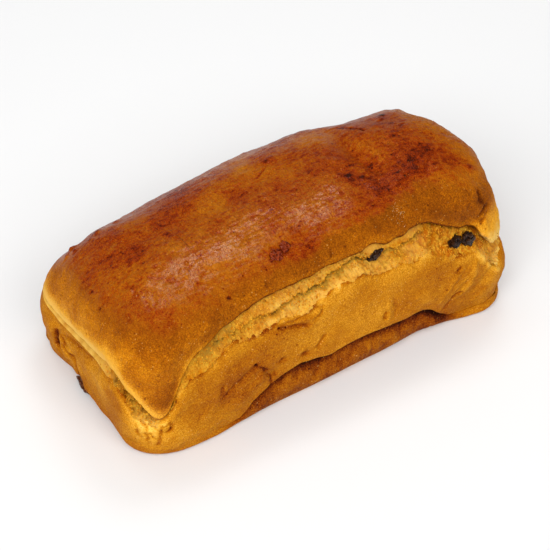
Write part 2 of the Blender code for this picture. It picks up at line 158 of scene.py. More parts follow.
def makeRim(columns, density):
    points, normals, along = rimOutline(columns, density)
    return {"points": points, "normals": normals, "along": along, "columns": columns}


def around(rim, table, unit=1000):  # a rim table read at each column, in metres, or as shares with unit 1
    table = np.array([point if len(point) == 3 else (point[0], -60, point[1]) for point in table])
    places = fineAlong[np.linalg.norm(finePoints - table[:, None, :2] / 1000, axis=2).argmin(axis=1)]
    return smoothThrough(places, table[:, 2] / unit, rim["along"], rimLength)


def ringAt(rim, offset, height):
    flat = rim["points"] + rim["normals"] * np.reshape(offset, (-1, 1))
    return np.column_stack([flat, np.broadcast_to(height, len(flat))])


def noiseAt(points, size, seed=0.0):
    shift = Vector((seed, seed * 0.7, -seed))
    return np.array([noise.noise(Vector(point) / size + shift) for point in points])


def noiseOf(grid, size, seed=0.0):
    return noiseAt(grid.reshape(-1, 3), size, seed).reshape(grid.shape[:-1])


def layered(grid, table, value=0):  # noise in layers: (size, depth, seed)
    for size, depth, seed in table:
        value = value + noiseOf(grid, size, seed) * depth
    return value


def soften(value, low, high):
    share = np.clip((value - low) / (high - low), 0, 1)
    return share * share * (3 - 2 * share)


def wallOffset(height, taper):
    return -taper * (1 - np.sin(np.clip(height / loafForm["wallHeight"], 0, 1) * math.pi / 2))


def footRings(rim, rows, rounding=None):
    f = loafForm
    taper, fold = around(rim, f["taper"]), around(rim, f["foldDepth"])
    rounding = np.full(rim["columns"], f["baseRound"]) if rounding is None else rounding
    rings = []
    for turn in np.linspace(0, math.pi / 2, rows - 1):
        height = rounding * (1 - math.cos(turn))
        inset = rounding * (1 - math.sin(turn))
        rings.append(ringAt(rim, wallOffset(height, taper) - fold - inset, height))
    return rings


def foldRing(rim, lift=0.0):
    top = around(rim, loafForm["foldHeight"]) + lift
    fold = around(rim, loafForm["foldDepth"])
    return ringAt(rim, wallOffset(top, around(rim, loafForm["taper"])) - fold * loafForm["foldUndercut"], top)


def bellyRings(rim, rows, lift=0.0, high=None):
    f = loafForm
    taper, fold = around(rim, f["taper"]), around(rim, f["foldDepth"])
    low = around(rim, f["foldHeight"]) + fold * f["foldRound"] + lift
    high = around(rim, f["crumb"]) if high is None else high
    rings = []
    for part in np.linspace(0, 1, rows):
        height = low + (high - low) * part
        shoulder = f["shoulder"] * max(0, (part - f["shoulderFrom"]) / (1 - f["shoulderFrom"])) ** 2
        rings.append(ringAt(rim, wallOffset(height, taper) - shoulder, height))
    return rings


def crustProfile(low, inset, rimHeight, squareness, ridgeHeight, rows):
    turn = np.linspace(0, math.pi / 2, loafForm["profileSteps"])
    inward = 1 - np.cos(turn) ** (2 / squareness)
    height = rimHeight + (ridgeHeight - rimHeight) * np.sin(turn) ** (2 / squareness)
    if low < rimHeight:
        inward, height = np.concatenate([[0], inward]), np.concatenate([[low], height])
    reach = loafForm["width"] / 2 - inset
    travelled = np.concatenate([[0], np.cumsum(np.hypot(np.diff(inward) * reach, np.diff(height)))])
    at = np.linspace(np.interp(low, height, travelled), travelled[-1] * loafForm["ridgeReach"], rows)
    return np.interp(at, travelled, inward), np.interp(at, travelled, height)


def ridgeUnder(edge):  # the nearest points on the loaf's middle line
    half = loafForm["ridgeHalf"]
    return np.column_stack([np.clip(edge[:, 0], -half, half), np.zeros(len(edge))])


def crustRings(rim, rows, lip=None):
    f = loafForm
    lip = around(rim, f["lip"]) if lip is None else lip
    inset, rimHeight = around(rim, f["lipInset"]), around(rim, f["rim"])
    squareness = around(rim, f["squareness"], 1)
    edge = rim["points"] - rim["normals"] * inset[:, None]
    ridge = ridgeUnder(edge)
    table = np.array(f["ridge"]) / 1000
    ridgeHeight = smoothThrough(table[:, 0], table[:, 1], ridge[:, 0])
    profiles = [crustProfile(*column, rows) for column in zip(lip, inset, rimHeight, squareness, ridgeHeight)]
    rings = []
    for row in range(rows):
        inward = np.array([profile[0][row] for profile in profiles])[:, None]
        height = np.array([profile[1][row] for profile in profiles])
        rings.append(np.column_stack([edge + (ridge - edge) * inward, height]))
    return rings


def distanceToPath(points, path):
    nearest = np.full(len(points), np.inf)
    path = [np.array(point, float) for point in path]
    for start, end in zip(path[:-1], path[1:]):
        run = end - start
        share = np.clip((points - start) @ run / (run @ run), 0, 1)
        nearest = np.minimum(nearest, np.linalg.norm(points - start - share[:, None] * run, axis=1))
    return nearest


def gridNormals(grid):
    across = np.roll(grid, -1, axis=1) - np.roll(grid, 1, axis=1)
    normals = np.cross(across, np.gradient(grid, axis=0))
    return normals / np.maximum(np.linalg.norm(normals, axis=2), 1e-12)[..., None]


def slowRelief(grid):  # the relief that the CAD solid has too
    f = loafForm
    points = grid.reshape(-1, 3)
    depth = noiseAt(points, f["unevenSize"]) * f["unevenDepth"]
    upper = np.clip((points[:, 2] - f["crownLow"]) / (f["crownHigh"] - f["crownLow"]), 0, 1)
    for x, y, reachX, reachY, turn, height in f["domeForms"]:
        c, s = math.cos(math.radians(turn)), math.sin(math.radians(turn))
        fromX, fromY = points[:, 0] * 1000 - x, points[:, 1] * 1000 - y
        along, over = fromX * c + fromY * s, fromY * c - fromX * s
        depth += height / 1000 * upper * np.exp(-((along / reachX) ** 2) - (over / reachY) ** 2)
    for path, halfWidth, foldDepth in f["folds"]:
        depth -= foldDepth / 1000 * np.exp(-((distanceToPath(points * 1000, path) / halfWidth) ** 2))
    return depth.reshape(grid.shape[:-1]) * np.clip(grid[..., 2] / f["calmHeight"], 0, 1)


def plainGrid(rings):
    grid = np.array(rings)
    grid[1:] += (gridNormals(grid) * slowRelief(grid)[..., None])[1:]
    return grid


def coarseBox():  # the box of the solid before it was brought to size
    rim = makeRim(128, (1.5, 1.25, 1.0))
    grid = plainGrid([*footRings(rim, 5), foldRing(rim), *bellyRings(rim, 8), *crustRings(rim, 18)])
    return grid.reshape(-1, 3).min(axis=0), grid.reshape(-1, 3).max(axis=0)


loafLow, loafHigh = (np.array(corner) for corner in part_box("loaf"))
plainLow, plainHigh = coarseBox()
sizeScale = (loafHigh - loafLow) / (plainHigh - plainLow)


def toSize(grid):
    return (grid - plainLow) * sizeScale + loafLow


print("form ready, scaled by", sizeScale.round(4))


def insideRing(rim, share, height):  # unseen, part of the way in to the middle of the loaf
    edge = rim["points"] - rim["normals"] * loafForm["insideEdge"]
    return np.column_stack([edge + (ridgeUnder(edge) - edge) * share, np.broadcast_to(height, len(edge))])


def zipFaces(rim, places, first):  # closes the last ring along the loaf's length; first is its first index
    onFront = rim["points"][:, 1] < 0
    count = len(onFront)
    start = next(i for i in range(count) if onFront[i] and not onFront[i - 1])
    ordered = [*range(start, count), *range(start)]
    front = [i for i in ordered if onFront[i]]
    back = [i for i in ordered if not onFront[i]][::-1]
    faces, f, b = [], 0, 0
    while f < len(front) - 1 or b < len(back) - 1:
        if f < len(front) - 1 and (b == len(back) - 1 or places[front[f + 1]] < places[back[b + 1]]):
            faces.append((front[f], front[f + 1], back[b]))
            f += 1
        else:
            faces.append((front[f], back[b + 1], back[b]))
            b += 1
    return [tuple(first + i for i in face) for face in faces]


def makePiece(name, rim, grid, values, material, wrap=False, flatBase=False):
    rows, columns = grid.shape[:2]
    row = np.arange(rows if wrap else rows - 1)[:, None]
    i = np.arange(columns)[None]
    j = (i + 1) % columns
    up = (row + 1) % rows
    quads = np.stack([row * columns + i, row * columns + j, up * columns + j, up * columns + i], axis=-1)
    faces = [tuple(face) for face in quads.reshape(-1, 4).tolist()]
    if not wrap:
        faces += zipFaces(rim, grid[-1, :, 0], (rows - 1) * columns)
        bottom = [tuple(range(columns))] if flatBase else zipFaces(rim, grid[0, :, 0], 0)
        faces += [face[::-1] for face in bottom]
    mesh = bpy.data.meshes.new(name)
    mesh.from_pydata(grid.reshape(-1, 3).tolist(), [], faces)
    mesh.shade_smooth()
    mesh.materials.append(material)
    for key, value in values.items():
        mesh.attributes.new(key, "FLOAT", "POINT").data.foreach_set("value", value.astype(np.float32).ravel())
    piece = bpy.data.objects.new(name, mesh)
    scene.collection.objects.link(piece)
    print(name, len(mesh.vertices), "points")
    return piece


# the shade column darkens the colour: painted shade in grooves and cracks, painted light on ridges where it is
# negative, and the crust's own tone where there is no lift
def addFeatures(grid, features, wobble=0.0005):  # features: (path, half width, lift, shade), all in mm
    points = grid.reshape(-1, 3)
    depth, shade = np.zeros(len(points)), np.zeros(len(points))
    for path, halfWidth, lift, dark in features:
        path = np.array(path, float) / 1000
        reach = halfWidth * 0.0025 + wobble
        near = ((points > path.min(axis=0) - reach) & (points < path.max(axis=0) + reach)).all(axis=1)
        if not near.any():
            continue
        moved = points[near]
        moved = moved + np.column_stack([noiseAt(moved, 0.0035, seed) for seed in (2, 5, 9)]) * wobble * 2
        gap = distanceToPath(moved, path) if len(path) > 1 else np.linalg.norm(moved - path[0], axis=1)
        fall = np.exp(-((gap / (halfWidth / 1000)) ** 2))
        depth[near] += lift / 1000 * fall
        shade[near] += dark * fall
    return depth.reshape(grid.shape[:-1]), shade.reshape(grid.shape[:-1])


def spots(grid, table):  # table: (x, y, z, radius, strength) in mm
    total = np.zeros(grid.shape[:-1])
    for x, y, z, radius, strength in table:
        gap = np.linalg.norm(grid - np.array([x, y, z]) / 1000, axis=2) / (radius / 1000)
        total += strength * np.exp(-gap * gap)
    return total


# Materials
def tone(red, green, blue):  # a colour as it shows on a screen, made linear
    channels = (red / 255, green / 255, blue / 255)
    return (*(((c + 0.055) / 1.055) ** 2.4 if c > 0.04 else c / 12.92 for c in channels), 1)


def feed(tree, sockets, values):  # links each socket to its value, or sets it
    for key, value in values.items():
        if isinstance(value, bpy.types.NodeSocket):
            tree.links.new(value, sockets[key])
        else:
            sockets[key].default_value = value


def addNode(tree, kind, values=None, **settings):
    node = tree.nodes.new(kind)
    for key, value in settings.items():
        setattr(node, key, value)
    feed(tree, node.inputs, values or {})
    return node


def calc(tree, operation, first, second=0.0, third=0.0):
    return addNode(tree, "ShaderNodeMath", {0: first, 1: second, 2: third}, operation=operation).outputs[0]


def stretch(tree, vector, factors):
    return addNode(tree, "ShaderNodeVectorMath", {0: vector, 1: factors}, operation="MULTIPLY").outputs[0]


def span(tree, value, low, high, toLow=0.0, toHigh=1.0):
    values = {"Value": value, "From Min": low, "From Max": high, "To Min": toLow, "To Max": toHigh}
    return addNode(tree, "ShaderNodeMapRange", values, interpolation_type="SMOOTHSTEP").outputs["Result"]


def blendColour(tree, share, first, second, mode="MIX"):
    node = addNode(tree, "ShaderNodeMix", {0: share, 6: first, 7: second}, data_type="RGBA", blend_type=mode)
    return node.outputs[2]


def noiseNode(tree, vector, scale, detail=3.0, roughness=0.5, distortion=0.0):
    values = {"Vector": vector, "Scale": scale, "Detail": detail, "Roughness": roughness}
    return addNode(tree, "ShaderNodeTexNoise", {**values, "Distortion": distortion}).outputs["Fac"]


def cellsNode(tree, vector, scale):  # the distance to a cell's middle, and three chances for each cell
    cells = addNode(tree, "ShaderNodeTexVoronoi", {"Vector": vector, "Scale": scale, "Randomness": 1.0}).outputs
    return cells["Distance"], addNode(tree, "ShaderNodeSeparateColor", {"Color": cells["Color"]}).outputs


def attributeNode(tree, name):
    return addNode(tree, "ShaderNodeAttribute", attribute_name=name).outputs["Fac"]


def newGroup(name, inputs, outputs):
    tree = bpy.data.node_groups.new(name, "ShaderNodeTree")
    kinds = {"value": "NodeSocketFloat", "colour": "NodeSocketColor", "vector": "NodeSocketVector"}
    for key, kind, value in inputs:
        socket = tree.interface.new_socket(key, in_out="INPUT", socket_type=kinds[kind])
        if value is not None:
            socket.default_value = value
    for key, kind in outputs:
        tree.interface.new_socket(key, in_out="OUTPUT", socket_type=kinds[kind])
    return tree, addNode(tree, "NodeGroupInput"), addNode(tree, "NodeGroupOutput")


bakeTones = {  # how far it is baked from 0 to 1, and the colour it has then
    "lidColour": (
        (0.00, (232, 162, 40)), (0.20, (204, 127, 16)), (0.36, (172, 96, 7)), (0.50, (144, 74, 5)),
        (0.64, (122, 60, 5)), (0.80, (98, 42, 5)), (1.00, (58, 21, 5)),
    ),
    "glazedColour": (
        (0.00, (196, 128, 30)), (0.28, (177, 104, 14)), (0.46, (168, 92, 8)), (0.58, (158, 79, 6)),
        (0.69, (150, 61, 4)), (0.80, (132, 43, 3)), (0.91, (104, 29, 3)), (1.00, (58, 18, 5)),
    ),
    "sideColour": (
        (0.00, (240, 190, 84)), (0.20, (222, 160, 50)), (0.34, (203, 136, 28)), (0.45, (181, 113, 14)),
        (0.56, (164, 94, 9)), (0.68, (142, 70, 6)), (0.80, (108, 42, 4)), (0.92, (70, 22, 3)),
        (1.00, (40, 12, 4)),
    ),
}


def bakedColourGroup(name):
    tree, start, end = newGroup(name, [("Bake", "value", 0.5)], [("Color", "colour")])
    ramp = addNode(tree, "ShaderNodeValToRGB", {"Fac": start.outputs["Bake"]})
    while len(ramp.color_ramp.elements) < len(bakeTones[name]):
        ramp.color_ramp.elements.new(0.5)
    for element, (place, _) in zip(ramp.color_ramp.elements, bakeTones[name]):
        element.position = place
    for element, (_, colour) in zip(ramp.color_ramp.elements, bakeTones[name]):
        element.color = tone(*colour)
    tree.links.new(ramp.outputs["Color"], end.inputs["Color"])
    return tree


grainLook = {  # scales of the crust's textures, for each metre
    "patches": 55.0, "blotches": 230.0, "mottle": 1500.0, "flecks": 520.0, "specks": 760.0, "streaks": 260.0,
    "peel": 900.0, "folds": 640.0, "brushed": (1.0, 0.55, 0.8), "stretched": (1.0, 2.4, 1.6),
    "speckShare": 0.22, "foldWidth": 0.035, "peelHeight": 0.55, "foldHeight": 4.0, "fleckHeight": 0.25,
}


def crustGrainGroup():  # patches, blotches, mottle, dark flecks, pale specks and the skin's own height
    look = grainLook
    outputs = ("Patches", "Blotches", "Mottle", "Flecks", "Specks", "Creases", "Height")
    tree, start, end = newGroup(
        "crustGrain", [("Vector", "vector", None), ("Fleck Share", "value", 0.5), ("Crinkle", "value", 0.5)],
        [(key, "value") for key in outputs])
    place = start.outputs["Vector"]
    brushed = stretch(tree, place, look["brushed"])
    patches = noiseNode(tree, place, look["patches"], 3.0, 0.55)
    blotches = noiseNode(tree, brushed, look["blotches"], 5.0, 0.66, distortion=0.5)
    mottle = noiseNode(tree, place, look["mottle"], 3.0, 0.68)
    distance, chance = cellsNode(tree, place, look["flecks"])
    ragged = calc(tree, "MULTIPLY_ADD", calc(tree, "SUBTRACT", mottle, 0.5), 0.5, distance)
    ragged = calc(tree, "DIVIDE", ragged, calc(tree, "MULTIPLY_ADD", chance["Green"], 0.9, 0.25))
    often = calc(tree, "LESS_THAN", chance["Red"], start.outputs["Fleck Share"])
    flecks = calc(tree, "MULTIPLY", span(tree, ragged, 0.40, 0.10), often)
    distance, chance = cellsNode(tree, place, look["specks"])
    small = calc(tree, "DIVIDE", distance, calc(tree, "MULTIPLY_ADD", chance["Blue"], 0.8, 0.3))
    often = calc(tree, "GREATER_THAN", chance["Green"], 1 - look["speckShare"])
    specks = calc(tree, "MULTIPLY", span(tree, small, 0.34, 0.10), often)
    streaks = noiseNode(tree, stretch(tree, place, look["stretched"]), look["streaks"], 5.0, 0.66)
    folds = noiseNode(tree, brushed, look["folds"], 2.0, 0.5, distortion=0.8)
    folds = calc(tree, "ABSOLUTE", calc(tree, "SUBTRACT", folds, 0.5))
    creases = span(tree, folds, look["foldWidth"], 0.0)
    crinkle = calc(tree, "MULTIPLY", start.outputs["Crinkle"], look["foldHeight"])
    peel = noiseNode(tree, place, look["peel"], 4.0, 0.62)
    height = calc(tree, "MULTIPLY_ADD", peel, look["peelHeight"], streaks)
    height = calc(tree, "MULTIPLY_ADD", calc(tree, "MINIMUM", folds, 0.12), crinkle, height)
    height = calc(tree, "SUBTRACT", height, calc(tree, "MULTIPLY", flecks, look["fleckHeight"]))
    feed(tree, end.inputs, dict(zip(outputs, (patches, blotches, mottle, flecks, specks, creases, height))))
    return tree


groups = {"crustGrain": crustGrainGroup(), **{name: bakedColourGroup(name) for name in bakeTones}}


def useGroup(tree, name, values):
    return addNode(tree, "ShaderNodeGroup", values, node_tree=groups[name]).outputs


def newMaterial(name):
    material = bpy.data.materials.new(name)
    material.use_nodes = True
    tree = material.node_tree
    return material, tree, tree.nodes["Principled BSDF"], addNode(tree, "ShaderNodeTexCoord").outputs["Object"]


def bumpInto(tree, shader, height, strength, distance):
    bump = addNode(tree, "ShaderNodeBump", {"Height": height, "Strength": strength, "Distance": distance})
    tree.links.new(bump.outputs["Normal"], shader.inputs["Normal"])


crustLook = {
    "lid": {"tones": "lidColour", "glazed": "glazedColour", "patch": 0.20, "blotch": 0.165, "mottle": 0.44,
            "fleck": 0.28, "fleckShare": 0.16, "matte": 0.62, "glossy": 0.45, "specular": 0.04, "coat": 0.50,
            "coatRoughness": 0.24, "bump": 1.0, "crinkle": 1.0},
    "side": {"tones": "sideColour", "glazed": None, "patch": 0.18, "blotch": 0.09, "mottle": 0.44,
             "fleck": 0.24, "fleckShare": 0.12, "matte": 0.66, "glossy": 0.50, "specular": 0.04, "coat": 0.0,
             "coatRoughness": 0.4, "bump": 0.9, "crinkle": 0.3},
    "speck": (236, 186, 104), "pale": (242, 198, 104), "bumpHeight": 0.0006,
    "depth": {"Subsurface Weight": 0.06, "Subsurface Radius": (0.003, 0.0012, 0.0004)},
}


def crustMaterial(name, look):
    material, tree, shader, place = newMaterial(name)
    values = {"Vector": place, "Fleck Share": look["fleckShare"], "Crinkle": look["crinkle"]}
    grain = useGroup(tree, "crustGrain", values)
    bake, glaze, gloss, pale = (attributeNode(tree, key) for key in ("bake", "glaze", "gloss", "pale"))
    for key, output in (("patch", "Patches"), ("blotch", "Blotches"), ("mottle", "Mottle")):
        bake = calc(tree, "MULTIPLY_ADD", calc(tree, "SUBTRACT", grain[output], 0.5), look[key] * 2, bake)
    bake = calc(tree, "MULTIPLY_ADD", grain["Flecks"], look["fleck"], bake)
    # painted shade in the creases of the crinkled skin, stronger where the glaze is glossy
    paintedCreaseShade = calc(tree, "MULTIPLY", grain["Creases"], calc(tree, "MULTIPLY_ADD", gloss, 0.14, 0.05))
    bake = calc(tree, "MULTIPLY_ADD", paintedCreaseShade, look["crinkle"], bake)
    colour = useGroup(tree, look["tones"], {"Bake": bake})["Color"]
    if look["glazed"]:
        colour = blendColour(tree, glaze, colour, useGroup(tree, look["glazed"], {"Bake": bake})["Color"])
    specks = calc(tree, "MULTIPLY", grain["Specks"], calc(tree, "MULTIPLY_ADD", glaze, -0.26, 0.42))
    colour = blendColour(tree, specks, colour, tone(*crustLook["speck"]))
    colour = blendColour(tree, pale, colour, tone(*crustLook["pale"]))
    rough = span(tree, glaze, 0.0, 1.0, look["matte"], look["glossy"])
    rough = calc(tree, "MULTIPLY_ADD", grain["Mottle"], 0.12, calc(tree, "SUBTRACT", rough, 0.06))
    sheen = calc(tree, "MULTIPLY", span(tree, grain["Blotches"], 0.30, 0.62, 1.15, 0.68), look["coat"])
    sheen = calc(tree, "MULTIPLY", span(tree, grain["Mottle"], 0.36, 0.64, 1.25, 0.55), sheen)
    feed(tree, shader.inputs, {
        "Base Color": colour, "Roughness": rough, "Coat Weight": calc(tree, "MULTIPLY", gloss, sheen),
        "Coat Roughness": look["coatRoughness"], "Specular IOR Level": look["specular"], **crustLook["depth"]})
    bumpInto(tree, shader, grain["Height"], look["bump"], crustLook["bumpHeight"])
    return material


crumbLook = {
    # the olive and pore colours are used for painted shade in the crumb's recesses
    "pale": (214, 160, 46), "gold": (194, 122, 14), "toast": (166, 84, 6), "oliveShade": (156, 116, 38),
    "cream": (236, 190, 90), "pore": (70, 36, 6), "fibres": 1100.0, "cloud": 210.0,
    "stretched": (1.0, 1.0, 0.28), "bump": 0.8, "bumpHeight": 0.0008,
    "surface": {"Roughness": 0.78, "Specular IOR Level": 0.05, "Subsurface Weight": 0.15,
                "Subsurface Radius": (0.004, 0.002, 0.0006)},
}


def crumbMaterial():
    look = crumbLook
    material, tree, shader, place = newMaterial("tornCrumbMaterial")
    fibres = noiseNode(tree, stretch(tree, place, look["stretched"]), look["fibres"], 4.0, 0.65)
    cloud = span(tree, noiseNode(tree, place, look["cloud"], 3.0, 0.55), 0.34, 0.66)
    colour = blendColour(tree, cloud, tone(*look["pale"]), tone(*look["gold"]))
    streaks = calc(tree, "MULTIPLY", span(tree, fibres, 0.42, 0.66), 0.6)
    colour = blendColour(tree, streaks, colour, tone(*look["toast"]))
    for key, second in (("toast", "toast"), ("oliveShade", "oliveShade"), ("cream", "cream"), ("cavityShade", "pore")):
        colour = blendColour(tree, attributeNode(tree, key), colour, tone(*look[second]))
    feed(tree, shader.inputs, {"Base Color": colour, **look["surface"]})
    bumpInto(tree, shader, fibres, look["bump"], look["bumpHeight"])
    return material


lidMaterial = crustMaterial("lidCrustMaterial", crustLook["lid"])
sideMaterial = crustMaterial("sideCrustMaterial", crustLook["side"])
tornMaterial = crumbMaterial()
print("materials ready")

# Where the scene is finer than the solid: rim tables as above, in mm
edgeTables = {
    "crust": (  # upper edge of the side crust
        *loafForm["crumb"][:8], (-89.5, 45), (-83, 50), (-75.5, 50.8), (-68.5, 56.2), (-62.5, 60.2),
        (-56, 61.2), (-48.5, 60), (-39.5, 61.2), (-34, 62.4), (-28, 61.8), (-21, 61.3), (-17, 62.5),
        (-13, 63.2), (-7.5, 65.3), (-4, 66.8), (4, 68.2), (11, 68.8), (15, 68.8), (21, 66.2), (26, 64.1),
        (29.3, 65), (36, 65.6), (44, 63.2), (50, 64.2), (56, 62.8), (66, 57.2), (70.5, 53.5), (76, 52.5),
        (83, 50.5), (87, 46.5), (91, -59, 42), (95.5, -58, 36.5), (100, -56, 31.5), (106, -51, 31),
        (112, -42, 34), (115, -22, 41), (115, 0, 45), *loafForm["crumb"][-5:],
    ),
    "lip": (  # lower edge of the lid
        *loafForm["lip"][:12], (-63, 70.2), (-56, 72), (-50, 73.8), (-43, 76), (-33, 77.1), (-24, 76.8),
        (-11.5, 76.7), (0, 78.7), (10, 78.5), (18, 78.2), (24.3, 80.6), (30.5, 77.6), (34.5, 77.2), (38, 78.6),
        (42, 77.9), (46, 80), (51.6, 80.2), (56, 79.8), (62, 76.2), (68, 72.4), (77, 67.5), (84.5, 65.2),
        (88, 60.5), (92, -59, 55.6), (96, -58, 51.8), (100.5, -55, 50), (106, -51, 51), (110, -45, 54),
        (114, -34, 60), (115, 0, 66), *loafForm["lip"][-5:],
    ),
    "foldLift": (
        (-115, 0, 0), (-112, -42, 2.5), (-103, -53, 5), (-96, -58, 5), (-82, 3), (-57, 0), (-50, 5),
        (-36, 6.2), (0, 5.6), (20, 4.6), (34, 3.4), (46, 3.6), (56, 2.6), (66, 0), (115, 0, 0), (0, 60, 0),
    ),
}

